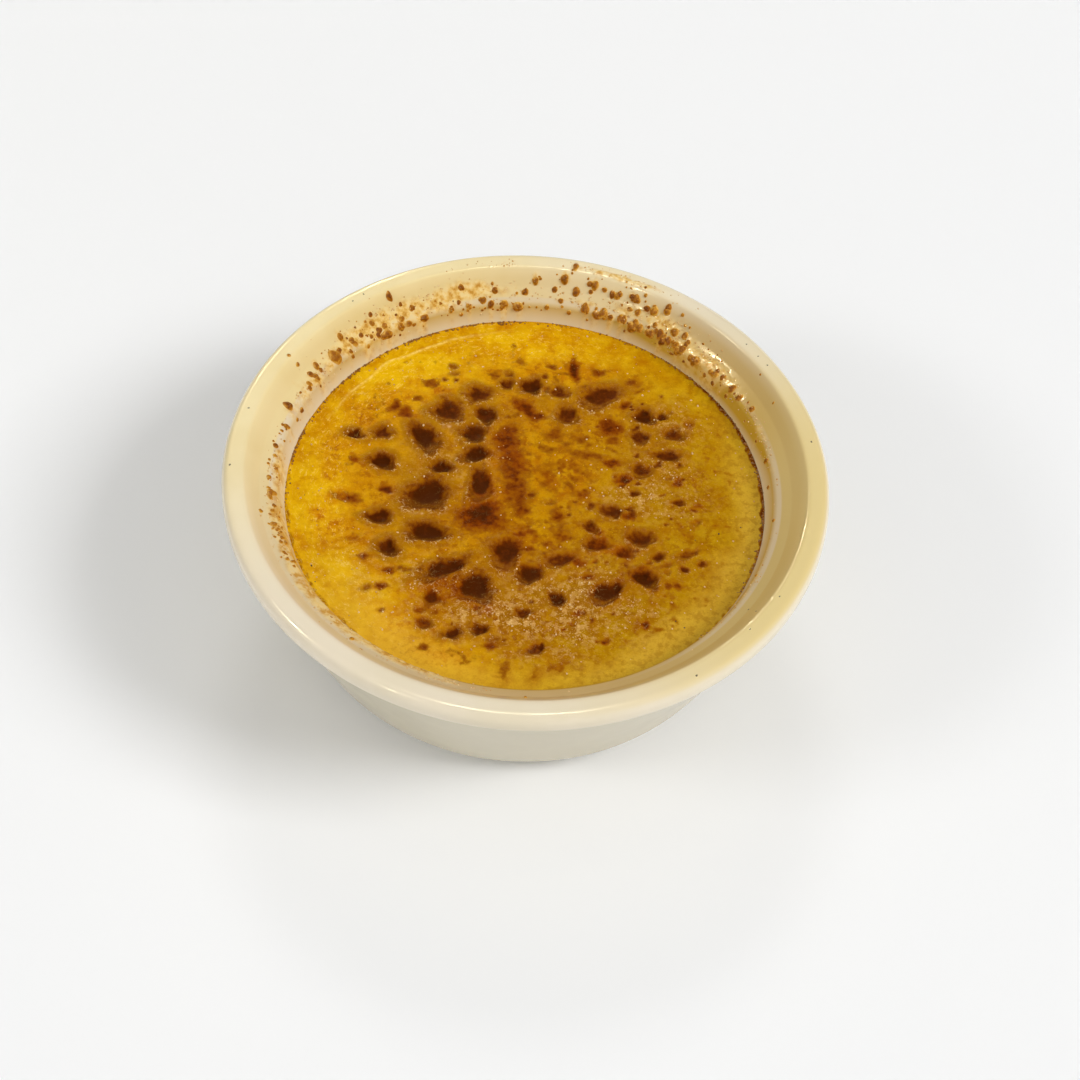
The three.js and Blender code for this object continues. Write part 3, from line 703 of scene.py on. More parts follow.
def custard_looks(x, y):
    """Height in metres at points of the custard's top, and the shares that colour it."""
    radius = np.hypot(x, y)
    fade = 1 - np.minimum(np.exp((radius - CUSTARD_RADIUS) / MENISCUS_WIDTH), 1)
    shift_x, shift_y = SWELL_SHIFTS
    swell = SWELL_HEIGHT * np.sin(x / SWELL_LENGTH + shift_x) * np.cos(y / SWELL_LENGTH + shift_y)
    places = (x / MM, y / MM, radius / MM, np.degrees(np.arctan2(y / MM, x / MM)))
    shares = custard_shares(*places)
    relief = custard_relief(*places, shares)
    return CUSTARD_EDGE_HEIGHT - MENISCUS_RISE * fade + fade * (swell + relief * MM), shares


def ring_start(ring):
    return np.where(ring == 0, 0, 1 + RING_SIDES * ring * (ring - 1) // 2)


def disc_points(rings, radius):
    """Evenly spaced points of a disc: ring k holds RING_SIDES * k of them."""
    ring = np.concatenate([[0]] + [np.full(RING_SIDES * k, k) for k in range(1, rings + 1)])
    step = np.arange(len(ring)) - ring_start(ring)
    angle = 2 * math.pi * step / np.maximum(1, RING_SIDES * ring)
    distance = radius * ring / rings
    return distance * np.cos(angle), distance * np.sin(angle)


def disc_faces(rings):
    """Triangles between each ring and the next, one wedge at a time."""
    faces = []
    for ring in range(rings):
        wedge = np.repeat(np.arange(RING_SIDES), ring + 1)
        step = np.tile(np.arange(ring + 1), RING_SIDES)

        def point(k, offset):
            around = max(1, RING_SIDES * k)
            return ring_start(np.array(k)) + (wedge * k + step + offset) % around

        faces.append(np.stack([point(ring + 1, 0), point(ring + 1, 1), point(ring, 0)], 1))
        between = step < ring
        inner = np.stack([point(ring, 0), point(ring + 1, 1), point(ring, 1)], 1)
        faces.append(inner[between])
    return np.vstack(faces)


def rolled_out(points):
    """Places that run along the custard's edge and, more closely, away from its middle."""
    radius = np.hypot(points[:, 0], points[:, 1])
    around = np.radians(turned_apart(np.degrees(np.arctan2(points[:, 1], points[:, 0])), 135))
    return np.stack([around * 45 * MM, radius * 2.4, 0 * radius], 1)


def custard_side():
    """The hidden outline of the custard, from under its edge to the axis."""
    bottom = FLOOR_HEIGHT + GAP
    clear = GAP * math.hypot(1, WALL_TAPER)
    below_edge = CUSTARD_EDGE_HEIGHT - 1.0 * MM
    return rounded_profile([
        (inner_radius(below_edge) - clear, below_edge, 0),
        (inner_radius(bottom) - clear, bottom, FLOOR_FILLET - GAP),
        (0, bottom, 0),
    ], chord=4 * MM)


def custard_piece():
    """The fine top, closed by the side and bottom that the dish hides."""
    x, y = disc_points(TOP_RINGS, CUSTARD_RADIUS)
    z, shares = custard_looks(x, y)
    points = [np.stack([x, y, z], 1)]
    faces = [disc_faces(TOP_RINGS)]
    around = RING_SIDES * TOP_RINGS
    angle = np.arange(around) * 2 * math.pi / around
    step = np.arange(around)
    following = (step + 1) % around
    above = int(ring_start(np.array(TOP_RINGS)))
    count = len(x)
    side = custard_side()
    for radius, height in side[:-1]:
        points.append(np.stack([radius * np.cos(angle), radius * np.sin(angle), np.full(around, height)], 1))
        faces.append(np.stack([above + step, count + step, count + following], 1))
        faces.append(np.stack([above + step, count + following, above + following], 1))
        above = count
        count += around
    points.append([[0, 0, side[-1][1]]])
    faces.append(np.stack([above + step, np.full(around, count), above + following], 1))
    points = np.vstack(points)
    hidden = np.zeros(len(points) - len(x))
    attributes = {name: np.append(shares[name], hidden) for name in CUSTARD_SHARES}
    attributes["rolled"] = rolled_out(points)
    return new_object("custard_top", points, np.vstack(faces), custard_material(), attributes)


# ---- Node helpers ---------------------------------------------------------------------------
def linear(red, green, blue):
    """A colour given as on a screen, 0 to 255, in the linear light that shaders work in."""
    def channel(value):
        value /= 255
        return value / 12.92 if value <= 0.04045 else ((value + 0.055) / 1.055) ** 2.4
    return (channel(red), channel(green), channel(blue), 1.0)


def feed(value, socket):
    """Gives a socket a number, a colour of 0 to 255, or a value that varies over the surface."""
    if isinstance(value, Value):
        socket.id_data.links.new(value.output, socket)
    else:
        socket.default_value = linear(*value) if isinstance(value, tuple) else value


class Value:
    """A number or colour that varies over a surface. Sums and mixes of it add the nodes they need."""

    def __init__(self, node, output):
        self.nodes = node.id_data.nodes
        self.output = node.outputs[output]

    def math(self, operation, other):
        node = self.nodes.new("ShaderNodeMath")
        node.operation = operation
        feed(self, node.inputs[0])
        feed(other, node.inputs[1])
        return Value(node, "Value")

    def __add__(self, other):
        return self.math("ADD", other)

    def __mul__(self, other):
        return self.math("MULTIPLY", other)

    def larger(self, other):
        return self.math("MAXIMUM", other)

    def smaller(self, other):
        return self.math("MINIMUM", other)

    def off_middle(self):
        """How far a noise is from its middle value, which makes thin wandering lines."""
        return self.math("SUBTRACT", 0.5).math("ABSOLUTE", 0.0)

    def remap(self, low, high, to_low=0.0, to_high=1.0):
        node = self.nodes.new("ShaderNodeMapRange")
        node.interpolation_type = "SMOOTHSTEP"
        labels = ("Value", "From Min", "From Max", "To Min", "To Max")
        for label, value in zip(labels, (self, low, high, to_low, to_high)):
            feed(value, node.inputs[label])
        return Value(node, "Result")

    def mix(self, first, second):
        """The first colour where this is 0, and the second where it is 1."""
        node = self.nodes.new("ShaderNodeMix")
        node.data_type = "RGBA"
        for place, value in ((0, self), (6, first), (7, second)):
            feed(value, node.inputs[place])
        return Value(node, 2)

    def tones(self, places, *colours):
        """Blends along a scale from each colour, at its place, to the next."""
        node = self.nodes.new("ShaderNodeValToRGB")
        elements = node.color_ramp.elements
        stops = [(place, linear(*colour)) for place, colour in zip(places, colours)]
        elements[0].position, elements[0].color = stops[0]
        elements[1].position, elements[1].color = stops[-1]
        for place, colour in stops[1:-1]:
            elements.new(place).color = colour
        feed(self, node.inputs["Fac"])
        return Value(node, "Color")


class Shader:
    """A material under construction."""

    def __init__(self, name, **sockets):
        self.material = bpy.data.materials.new(name)
        self.material.use_nodes = True
        self.nodes = self.material.node_tree.nodes
        self.surface = self.nodes["Principled BSDF"].inputs
        for socket, value in sockets.items():
            self.surface[socket.replace("_", " ")].default_value = value
        self.place = Value(self.nodes.new("ShaderNodeTexCoord"), "Object")

    def share(self, name, output="Fac"):
        """What the mesh gives under that name."""
        node = self.nodes.new("ShaderNodeAttribute")
        node.attribute_name = name
        return Value(node, output)

    def noise(self, size, detail=3.0, roughness=0.55, along=None):
        node = self.nodes.new("ShaderNodeTexNoise")
        node.inputs["Scale"].default_value = 1 / size
        node.inputs["Detail"].default_value = detail
        node.inputs["Roughness"].default_value = roughness
        feed(along or self.place, node.inputs["Vector"])
        return Value(node, "Fac")

    def bump(self, height, distance, strength=1.0):
        node = self.nodes.new("ShaderNodeBump")
        node.inputs["Distance"].default_value = distance
        node.inputs["Strength"].default_value = strength
        feed(height, node.inputs["Height"])
        feed(Value(node, "Normal"), self.surface["Normal"])

    def finish(self, colour, roughness):
        feed(colour, self.surface["Base Color"])
        feed(roughness, self.surface["Roughness"])
        return self.material


# ---- Materials ------------------------------------------------------------------------------
# The custard's shares of froth, scorched sugar, painted sheen and so on, which its mesh gives point by point.
CUSTARD_SHARES = ("scorch", "toffee", "froth", "ochre", "olive", "glass", "bright", "wet", "crease", "rind",
                  "shine")
# Where on their scales the tones of the custard's grain, burnt sugar and clear caramel lie.
GRAIN_STEPS = (0.36, 0.5, 0.64)
HEAT_STEPS = (0.2, 0.42, 0.6, 0.74, 0.92)
DEPTH_STEPS = (0.3, 0.62, 0.95)


class CustardShader(Shader):
    """The custard's material, laid up coat by coat from its plain gold to the highlights."""

    def __init__(self):
        super().__init__("burnt_custard", Coat_Roughness=0.04, Specular_IOR_Level=0.01)
        self.tiny = self.noise(0.35 * MM, detail=2)
        self.fine = self.noise(0.8 * MM, detail=5)
        self.middling = self.noise(1.4 * MM, detail=4, roughness=0.6)
        (self.scorch, self.toffee, self.froth, self.ochre, self.olive, self.glass, self.bright, self.wet,
         self.crease, self.rind, self.shine) = map(self.share, CUSTARD_SHARES)
        uneven = self.middling.remap(0.3, 0.7, -0.12, 0.12) + self.fine.remap(0.3, 0.7, -0.05, 0.05)
        self.heat = self.scorch + uneven

    def gold(self):
        """The custard between its marks, ochre to the right, with a paler rind, duller halos and painted
        sheen on near lips.
        """
        grain = self.noise(4.6 * MM, detail=4) * 0.65 + self.middling * 0.35
        golden = grain.tones(GRAIN_STEPS, (188, 116, 0), (205, 143, 1), (220, 166, 5))
        sunny = grain.tones(GRAIN_STEPS, (207, 142, 0), (229, 178, 4), (241, 197, 18))
        brown = grain.tones(GRAIN_STEPS, (166, 113, 0), (186, 142, 5), (199, 160, 16))
        base = self.ochre.mix(self.bright.mix(golden, sunny), brown)
        rind = self.ochre.mix((232, 182, 52), (217, 176, 56))
        base = (self.rind * 0.85).mix(base, rind)
        halo = self.olive.tones((0.3, 0.9), (175, 122, 4), (148, 96, 4))
        base = self.olive.remap(0.0, 0.6, 0.0, 0.8).mix(base, halo)
        # Painted sheen: the blisters' near lips are lighter olive-gold.
        return (self.shine * 0.7).mix(base, (198, 152, 26))

    def toasted(self, base):
        """Toffee brown, with rusty flecks that are also scattered over the ochre side."""
        roasted = self.bright.mix(self.ochre.mix((174, 98, 1), (152, 94, 3)), (208, 132, 8))
        base = (self.toffee * self.fine.remap(0.3, 0.7, 0.4, 1.0)).mix(base, roasted)
        flecks = self.noise(1.9 * MM, detail=5, roughness=0.65).remap(0.47, 0.62)
        mottled = flecks * self.ochre.remap(0.2, 1.0, 0.0, 0.38)
        rusty = self.bright.mix(self.ochre.mix((138, 64, 1), (142, 82, 2)), (192, 112, 6))
        return mottled.larger(self.toffee * 1.5 * flecks).smaller(0.9).mix(base, rusty)

    def frothed(self, base):
        """Dark pores everywhere, and beige bubbles in brown where the sugar has frothed."""
        dull = self.bright.remap(0.0, 1.0, 1.0, 0.4)
        base = (self.tiny.remap(0.46, 0.32, 0.0, 0.2) * dull).mix(base, (150, 92, 2))
        base = (self.froth * 0.75).mix(base, (144, 88, 6))
        return (self.froth * self.middling.remap(0.49, 0.58, 0.0, 0.9)).mix(base, (206, 158, 88))

    def burnt(self, base):
        """Burnt sugar: brown syrup, or a rusty crust over the toffee, and its glassy near sides with a
        painted sheen.
        """
        syrup = self.heat.tones(HEAT_STEPS, (168, 112, 4), (151, 92, 4), (125, 66, 4), (94, 40, 3),
                                (73, 30, 2))
        crust = self.heat.tones(HEAT_STEPS, (172, 104, 2), (153, 84, 1), (132, 60, 1), (99, 40, 1),
                                (73, 30, 2))
        sugar = self.toffee.remap(0.35, 0.85, 0.1, 1.0).mix(syrup, crust)
        base = self.heat.remap(0.1, 0.45).mix(base, sugar)
        # Painted sheen, with clear caramel: the blisters' near sides are lighter and speckled.
        glass = self.glass * self.fine.remap(0.35, 0.6, 0.5, 0.95)
        return glass.mix(base, self.tiny.remap(0.56, 0.7).mix((112, 64, 8), (184, 136, 62)))

    def highlights(self, base):
        """Painted sparkle in pale flecks partly of sugar, cream foam curls in the froth, painted highlight
        curls on the lips, and painted highlight streaks at the wet edge.
        """
        unburnt = self.heat.remap(0.7, 0.35)
        # Painted sparkle, partly sugar: pale flecks where the sugar is not burnt.
        flecks = (self.froth * 0.1 + self.tiny).remap(0.65, 0.74, 0.0, 0.4) * unburnt
        base = flecks.mix(base, self.froth.mix((236, 190, 34), (224, 186, 108)))
        # Painted highlights: cream curls on the blisters' lips and halos, and curls of foam in the froth.
        curls = self.noise(1.1 * MM, detail=2).off_middle().remap(0.05, 0.012)
        around = (self.olive * 0.12).larger(self.shine * 0.8) * unburnt
        foam_and_highlight = (self.froth * self.fine.remap(0.44, 0.56, 0.0, 0.7)).larger(around)
        cream_and_highlight = self.shine.mix((232, 194, 126), (244, 218, 150))
        base = (curls * self.middling.remap(0.4, 0.52) * foam_and_highlight).mix(base, cream_and_highlight)
        # Painted highlights: bright streaks along the wet back left edge and along the crease.
        streaks = self.noise(2.6 * MM, detail=2, along=self.share("rolled", "Vector")).off_middle()
        wet = streaks.remap(0.022, 0.004) * (self.wet * 0.45)
        crease = self.crease * self.fine.remap(0.4, 0.6, 0.3, 0.9)
        return (wet * self.middling.remap(0.42, 0.6)).larger(crease).mix(base, (248, 214, 112))

    def coat(self):
        """How wet it is: most on the blisters' lips and in the froth, least where it is burnt."""
        moist = self.shine.larger(self.froth * self.fine.remap(0.45, 0.6))
        moist = moist.larger(self.wet * 0.3)
        return moist.remap(0.0, 0.8, 0.03, 0.1) * self.heat.remap(0.75, 0.4, 0.15, 1.0)


def custard_material():
    shader = CustardShader()
    colour = shader.highlights(shader.burnt(shader.frothed(shader.toasted(shader.gold()))))
    feed(shader.coat(), shader.surface["Coat Weight"])
    shader.bump(shader.tiny, 0.03 * MM)
    return shader.finish(colour, shader.fine.remap(0.3, 0.7, 0.4, 0.6))


def glaze_material():
    shader = Shader("cream_glaze", Coat_Weight=0.12, Coat_Roughness=0.07, Specular_IOR_Level=0.28)
    broad = shader.noise(18 * MM, detail=3)
    fine = shader.noise(1.3 * MM, detail=4)
    clouds = broad.remap(0.35, 0.65)
    colour = clouds.mix((232, 221, 199), (227, 216, 191))
    # Painted warm light, partly stain too: the rim is yellower at the back and left.
    colour = shader.share("yellow_stain_and_light").mix(colour, clouds.mix((243, 226, 175), (237, 218, 163)))
    # Painted shade, partly stain too: tan on the right of the rim, browner towards the custard, darker
    # outside.
    for name, stain_and_shade in (("tan", (225, 204, 144)), ("stain_and_shade", (195, 155, 50)), ("outside_shade", (200, 190, 163))):
        colour = shader.share(name).mix(colour, stain_and_shade)
    amber = fine.tones((0.38, 0.52, 0.66), (240, 212, 146), (226, 184, 98), (194, 138, 44))
    crust = shader.noise(2.6 * MM, detail=4).remap(0.44, 0.6).mix((232, 202, 134), (202, 150, 66))
    amber = (shader.share("pale") * 0.85).mix(amber, crust)
    colour = (shader.share("film") * fine.remap(0.3, 0.55, 0.55, 1.0)).mix(colour, amber)
    shader.bump(shader.noise(4 * MM, detail=2), 0.08 * MM, 0.3)
    return shader.finish(colour, broad.remap(0.3, 0.7, 0.16, 0.26))


def caramel_material():
    shader = Shader("caramel", Coat_Weight=0.4, Coat_Roughness=0.05, Specular_IOR_Level=0.1)
    fine = shader.noise(0.7 * MM, detail=3)
    depth = shader.share("middle") + fine.remap(0.3, 0.7, -0.25, 0.2)
    light = depth.tones(DEPTH_STEPS, (228, 186, 96), (200, 142, 38), (166, 102, 10))
    dark = depth.tones(DEPTH_STEPS, (208, 152, 58), (160, 96, 10), (120, 64, 2))
    shader.bump(fine, 0.04 * MM, 0.25)
    return shader.finish(shader.share("tone").mix(light, dark), fine.remap(0.3, 0.7, 0.2, 0.35))


def grain_material():
    shader = Shader("sugar_grains", Coat_Weight=0.8, Coat_Roughness=0.05)
    fine = shader.noise(0.3 * MM, detail=2)
    colour = shader.share("tone").mix((200, 144, 58), (238, 212, 160))
    shader.bump(fine, 0.04 * MM, 0.4)
    return shader.finish(fine.remap(0.5, 0.75).mix(colour, (200, 142, 56)), 0.3)


def crumb_material():
    shader = Shader("burnt_crumbs", Coat_Weight=0.15, Coat_Roughness=0.3)
    fine = shader.noise(0.4 * MM, detail=3)
    colour = shader.share("tone").mix((58, 42, 10), (176, 112, 22))
    shader.bump(fine, 0.05 * MM, 0.6)
    return shader.finish(fine.remap(0.4, 0.7).mix(colour, (112, 70, 12)), 0.5)


def iron_material():
    shader = Shader("iron_specks", Coat_Weight=0.3, Coat_Roughness=0.1)
    return shader.finish(shader.noise(0.3 * MM).mix((46, 36, 20), (96, 76, 44)), 0.4)


def floor_material():
    shader = Shader("pale_floor")
    return shader.finish(shader.noise(0.4).mix((240, 243, 248), (245, 248, 253)), 0.9)


# ---- The dish -------------------------------------------------------------------------------
def dish_profile():
    corners = [
        (0, FOOT_RECESS, 0),
        (FOOT_INNER_RADIUS, FOOT_RECESS, 0.4 * MM),
        (FOOT_INNER_RADIUS + FOOT_CHAMFER, 0, 0.4 * MM),
        (BASE_RADIUS, 0, BASE_FILLET),
        (NECK_RADIUS, NECK_HEIGHT, 0.7 * MM),
        (RIM_RADIUS, NECK_HEIGHT + BEAD_UNDERSIDE_RISE, 0.9 * MM),
        (RIM_RADIUS, HEIGHT, 1.8 * MM),
        (MOUTH_RADIUS, HEIGHT, 0.9 * MM),
        (BAND_RADIUS, BAND_HEIGHT, 2.0 * MM),
        (LEDGE_RADIUS, LEDGE_HEIGHT, 1.4 * MM),
        (inner_radius(FLOOR_HEIGHT), FLOOR_HEIGHT, FLOOR_FILLET),
        (0, FLOOR_HEIGHT, 0),
    ]
    return with_steps(rounded_profile(corners, 0.6 * MM), inner_step=0.4 * MM, outer_step=6 * MM)


PROFILE = dish_profile()


def profile_normals():
    """The direction out of the dish's material at each point of the profile."""
    along = np.gradient(PROFILE, axis=0)
    normals = np.stack([along[:, 1], -along[:, 0]], 1)
    return normals / np.linalg.norm(normals, axis=1)[:, None]


def dried_film(azimuth, radius):
    """The share of dried sugar at an azimuth in degrees and a distance from the axis in mm."""
    value = np.zeros_like(radius)
    for place, spread, at, half, strength in FILM_PLACES:
        t = np.hypot(turned_apart(azimuth, place) / spread, (radius - at) / half)
        value = np.maximum(value, strength * np.exp(-t ** 2))
    for place, at, width, length in solid_drops():
        aside = np.radians(turned_apart(azimuth, place)) * at
        t = np.hypot(aside / (0.75 * width), (radius - at) / (0.75 * min(length, 2.0)))
        value = np.maximum(value, 0.62 * np.exp(-t ** 2))
    return value


def around_rim(azimuth, places):
    """The strongest of a set of stains, each given by its azimuth, half spread and strength."""
    value = np.zeros_like(azimuth)
    for place, spread, strength in places:
        value = np.maximum(value, strength * sector(azimuth, place, spread))
    return value


def ramekin():
    """The dish with the dried sugar film raised on its inside."""
    points, faces = revolved(PROFILE, DISH_SEGMENTS)
    rings = PROFILE[1:-1]
    normals = np.repeat(profile_normals()[1:-1], DISH_SEGMENTS, axis=0)
    azimuth = np.tile(np.arange(DISH_SEGMENTS) * 360 / DISH_SEGMENTS, len(rings))
    radius = np.repeat(rings[:, 0], DISH_SEGMENTS) / MM
    height = np.repeat(rings[:, 1], DISH_SEGMENTS)
    inside = (normals[:, 0] < 0.3) & (height > CUSTARD_EDGE_HEIGHT)
    around = azimuth * 0.9
    film = dried_film(azimuth, radius) + 0.3 * rough(around, radius, 2.4, 71)
    film = np.where(inside, smoothstep(0.3, 0.75, film), 0)
    lumps = 0.35 + 0.65 * bubbles(around, radius * 1.2, 0.9, 73) + 0.3 * noise(around, radius, 1.8, 75)
    raised = film * FILM_THICKNESS * lumps
    ripple = GLAZE_UNEVENNESS * (noise(azimuth * 1.05, radius, 16.0, 51) - 1)
    push = raised + np.where(inside, 0, ripple)
    angle = np.radians(azimuth)
    points[:-2, 0] += push * normals[:, 0] * np.cos(angle)
    points[:-2, 1] += push * normals[:, 0] * np.sin(angle)
    points[:-2, 2] += np.where(inside, push * normals[:, 1], 0)
    above = np.where(height > NECK_HEIGHT, smoothstep(59.8, 59.0, radius), 0)
    # Painted shade: the band and wall are browner on the right and front, and less so on the lit left.
    deeper = 1 + around_rim(azimuth, DEEPER_STAIN_AND_SHADE) - around_rim(azimuth, THINNER_STAIN_AND_SHADE)
    shares = {
        "film": film,
        "pale": film * around_rim(azimuth, PALE_CRUST) * smoothstep(48.5, 49.8, radius),
        # Painted warm light and shade on the rim, partly stain: yellow at the back and left, tan on the
        # right.
        "yellow_stain_and_light": above * around_rim(azimuth, YELLOW_PLACES),
        "tan": above * around_rim(azimuth, TAN_PLACES),
        "stain_and_shade": np.where(inside, np.interp(radius, STAIN_AND_SHADE_RADII, STAIN_AND_SHADE_SHARES) * deeper, 0),
        # Painted shade: the outside below the rim is darker.
        "outside_shade": smoothstep(NECK_HEIGHT + 2 * MM, NECK_HEIGHT - 2 * MM, height) * (normals[:, 0] > 0),
    }
    attributes = {label: np.append(values, [0, 0]) for label, values in shares.items()}
    return new_object("ramekin_glazed", points, faces, glaze_material(), attributes)


# ---- Caramel, grains and crumbs -------------------------------------------------------------
def inside_at(radius):
    """The point of the rim, ledge or wall at a distance from the axis, and its normal."""
    for before, after in zip(PROFILE[:-1], PROFILE[1:]):
        if before[0] > radius >= after[0] and before[1] > CUSTARD_EDGE_HEIGHT - 2 * MM:
            share = (before[0] - radius) / (before[0] - after[0])
            along = (after - before) / np.linalg.norm(after - before)
            return before + share * (after - before), np.array([along[1], -along[0]])
    raise ValueError("no inside surface at that radius")


def wall_frame(azimuth, radius):
    """A point on the inside of the dish, with the directions round it, down it and out of it."""
    (r, z), normal = inside_at(radius)
    angle = math.radians(azimuth)
    outward = np.array([math.cos(angle), math.sin(angle), 0])
    around = np.array([-math.sin(angle), math.cos(angle), 0])
    proud = outward * normal[0] + np.array([0, 0, normal[1]])
    return outward * r + np.array([0, 0, z]), around, np.cross(proud, around), proud


def solid_drops():
    """The drops that the solid has too: the large ones, and small ones drawn by the solid's rule."""
    stream = random_stream(DROP_SEED)

    def between(low, high):
        return low + (high - low) * next(stream)

    drops = list(LARGE_DROPS)
    for start, end, near, far, count in DROP_ZONES:
        made = 0
        while made < count:
            width = between(*SMALL_DROP_WIDTH)
            drop = (between(start, end), between(near, far), width, width * between(*SMALL_DROP_STRETCH))
            gaps = [math.hypot(math.radians(drop[0] - other[0]) * drop[1], drop[1] - other[1])
                    - (drop[2] + other[2]) / 2 for other in drops]
            if min(gaps) > DROP_CLEARANCE:
                drops.append(drop)
                made += 1
    return drops


def specks(rng):
    """Fine spatter: the drops of the table, then random ones in their zones."""
    drops = []
    for azimuth, radius in FINE_DROPS:
        width = rng.uniform(0.7, 1.3)
        drops.append((azimuth, radius, width, width * rng.uniform(0.8, 1.5)))
    for azimuth, spread, radius, half, count, smallest, largest in SPECK_ZONES:
        for _ in range(count):
            width = rng.uniform(smallest, largest)
            at = np.clip(radius + rng.normal(0, 0.5) * half, *SPATTER_RADII)
            drops.append((azimuth + rng.normal(0, 0.5) * spread, at, width, width * rng.uniform(0.8, 1.4)))
    return drops


def drop_meshes(drops, shape, lobe, rise_share, rng):
    """Points, faces and height share of low domes on the inside of the dish."""
    axes, centres = [], []
    for azimuth, radius, width, length in drops:
        point, around, down, proud = wall_frame(azimuth, radius * MM)
        rise = rise_share * min(width, length) * MM
        axes.append(np.stack([around * width / 2 * MM, down * length / 2 * MM, proud * rise * 1.3], 1))
        centres.append(point - proud * 0.3 * rise)
    placed, faces = lobed(shape, len(drops), lobe, rng)
    height = np.clip(placed[:, :, 2], 0, 1).ravel()
    points, faces = copies((placed, faces), np.array(axes), np.array(centres))
    return points, faces, height


def drops_piece(rng):
    """All the caramel spatter on the inside of the dish."""
    coarse, fine = dome_shape(24, 14), dome_shape(12, 8)
    large, little = solid_drops(), specks(rng)
    points_a, faces_a, height_a = drop_meshes(large, coarse, DROP_LOBES, DROP_RISE, rng)
    points_b, faces_b, height_b = drop_meshes(little, fine, SPECK_LOBES, DROP_RISE, rng)
    tone_a = np.repeat(rng.uniform(0.25, 1, len(large)), len(coarse[0]))
    paler = np.array([0.35 if PALE_SPECKS[0] < drop[0] < PALE_SPECKS[1] else 1 for drop in little])
    tone_b = np.repeat(paler * rng.uniform(0, 1, len(little)), len(fine[0]))
    points, faces = np.vstack([points_a, points_b]), np.vstack([faces_a, faces_b + len(points_a)])
    attributes = {"middle": np.append(height_a, height_b), "tone": np.append(tone_a, tone_b)}
    return new_object("caramel_drops", points, faces, caramel_material(), attributes)


def grains_piece(rng):
    """Sugar grains half sunk in the custard, thickest where it is frothy, and some on the film."""
    angle = rng.uniform(0, 2 * math.pi, GRAIN_TRIES)
    radius = CUSTARD_RADIUS * 0.97 * np.sqrt(rng.uniform(0, 1, GRAIN_TRIES))
    x, y = radius * np.cos(angle), radius * np.sin(angle)
    z, shares = custard_looks(x, y)
    chance = (0.006 + 0.05 * shares["froth"]) * (1 - shares["inside"])
    chance *= smoothstep(0.9, 0.4, shares["scorch"])
    kept = rng.uniform(0, 1, GRAIN_TRIES) < chance
    centres = list(np.stack([x, y, z], 1)[kept])
    for azimuth, spread, at, half, strength in FILM_PLACES:
        dense = RIGHT_FILM_GRAINS if azimuth < RIGHT_FILM_END else FILM_GRAINS
        for _ in range(int(dense * spread * strength)):
            out = np.clip(at + rng.normal(0, 0.6) * half, *SPATTER_RADII)
            centres.append(wall_frame(azimuth + rng.normal(0, 0.6) * spread, out * MM)[0])
    centres = np.array(centres)
    sizes = rng.uniform(*GRAIN_RADII, len(centres)) * MM
    points, faces = grains(centres, sizes, rng, flatness=0.6)
    tone = np.repeat(rng.uniform(0, 1, len(centres)), 12)
    return new_object("sugar_grains", points, faces, grain_material(), {"tone": tone})


def crumbs_piece(rng):
    """Burnt specks along the custard's edge, and a few on top."""
    azimuth = rng.uniform(0, 360, CRUMB_TRIES)
    right = sector(azimuth, *EDGE_BURN)
    back_left = 0.5 * sector(azimuth, *CRUMB_CLUMPS)
    clumps = 0.35 + 0.65 * smoothstep(-0.3, 0.6, noise(azimuth, azimuth * 0, 3.0, 61))
    kept = rng.uniform(0, 1, CRUMB_TRIES) < np.maximum(right * 0.2, back_left * clumps * 0.8) + 0.01
    azimuth = np.radians(azimuth[kept])
    radius = CUSTARD_RADIUS - WALL_BITE - np.abs(rng.normal(0, 0.32, len(azimuth))) * MM
    x = np.append(radius * np.cos(azimuth), [x * MM for x, _ in BLACK_FLECKS])
    y = np.append(radius * np.sin(azimuth), [y * MM for _, y in BLACK_FLECKS])
    z, _ = custard_looks(x, y)
    sizes = rng.uniform(*GRAIN_RADII, len(x)) * MM
    points, faces = grains(np.stack([x, y, z], 1), sizes, rng, roughness=0.2)
    paler = np.cos(azimuth - math.radians(PALE_CRUMBS)) > 0.8
    tone = np.where(paler, 1, rng.uniform(0.45, 1, len(azimuth)))
    tone = np.append(tone, np.zeros(len(BLACK_FLECKS)))
    return new_object("burnt_crumbs", points, faces, crumb_material(), {"tone": np.repeat(tone, 12)})


def iron_specks_piece(rng):
    """Dark pinheads in the glaze of the rim."""
    drops = [(*place, rng.uniform(0.3, 0.5), rng.uniform(0.3, 0.5)) for place in IRON_SPECKS]
    points, faces, _ = drop_meshes(drops, dome_shape(10, 6), IRON_LOBES, IRON_RISE, rng)
    return new_object("glaze_specks", points, faces, iron_material())


# ---- Stage, light and camera ----------------------------------------------------------------
def floor():
    reach = FLOOR_REACH
    points = np.array([(-reach, -reach, 0), (reach, -reach, 0), (reach, reach, 0), (-reach, reach, 0)])
    made = new_object("floor", points, np.array([(0, 1, 2), (0, 2, 3)]), floor_material())
    made.location.z = -FLOOR_CLEARANCE


def softbox(name, azimuth, elevation, distance, size, power, mirrored):
    data = bpy.data.lights.new(name, "AREA")
    data.shape = "RECTANGLE"
    data.size, data.size_y = size
    data.energy = power
    data.color = GLINT_COLOUR if mirrored else KEY_COLOUR
    lamp = bpy.data.objects.new(name, data)
    lamp.visible_glossy = mirrored
    lamp.visible_diffuse = not mirrored
    bpy.context.scene.collection.objects.link(lamp)
    azimuth, elevation = math.radians(azimuth), math.radians(elevation)
    direction = Vector((math.cos(elevation) * math.cos(azimuth), math.cos(elevation) * math.sin(azimuth),
                        math.sin(elevation)))
    lamp.location = direction * distance + Vector((0, 0, AIM_HEIGHT))
    lamp.rotation_euler = direction.to_track_quat("Z", "Y").to_euler()


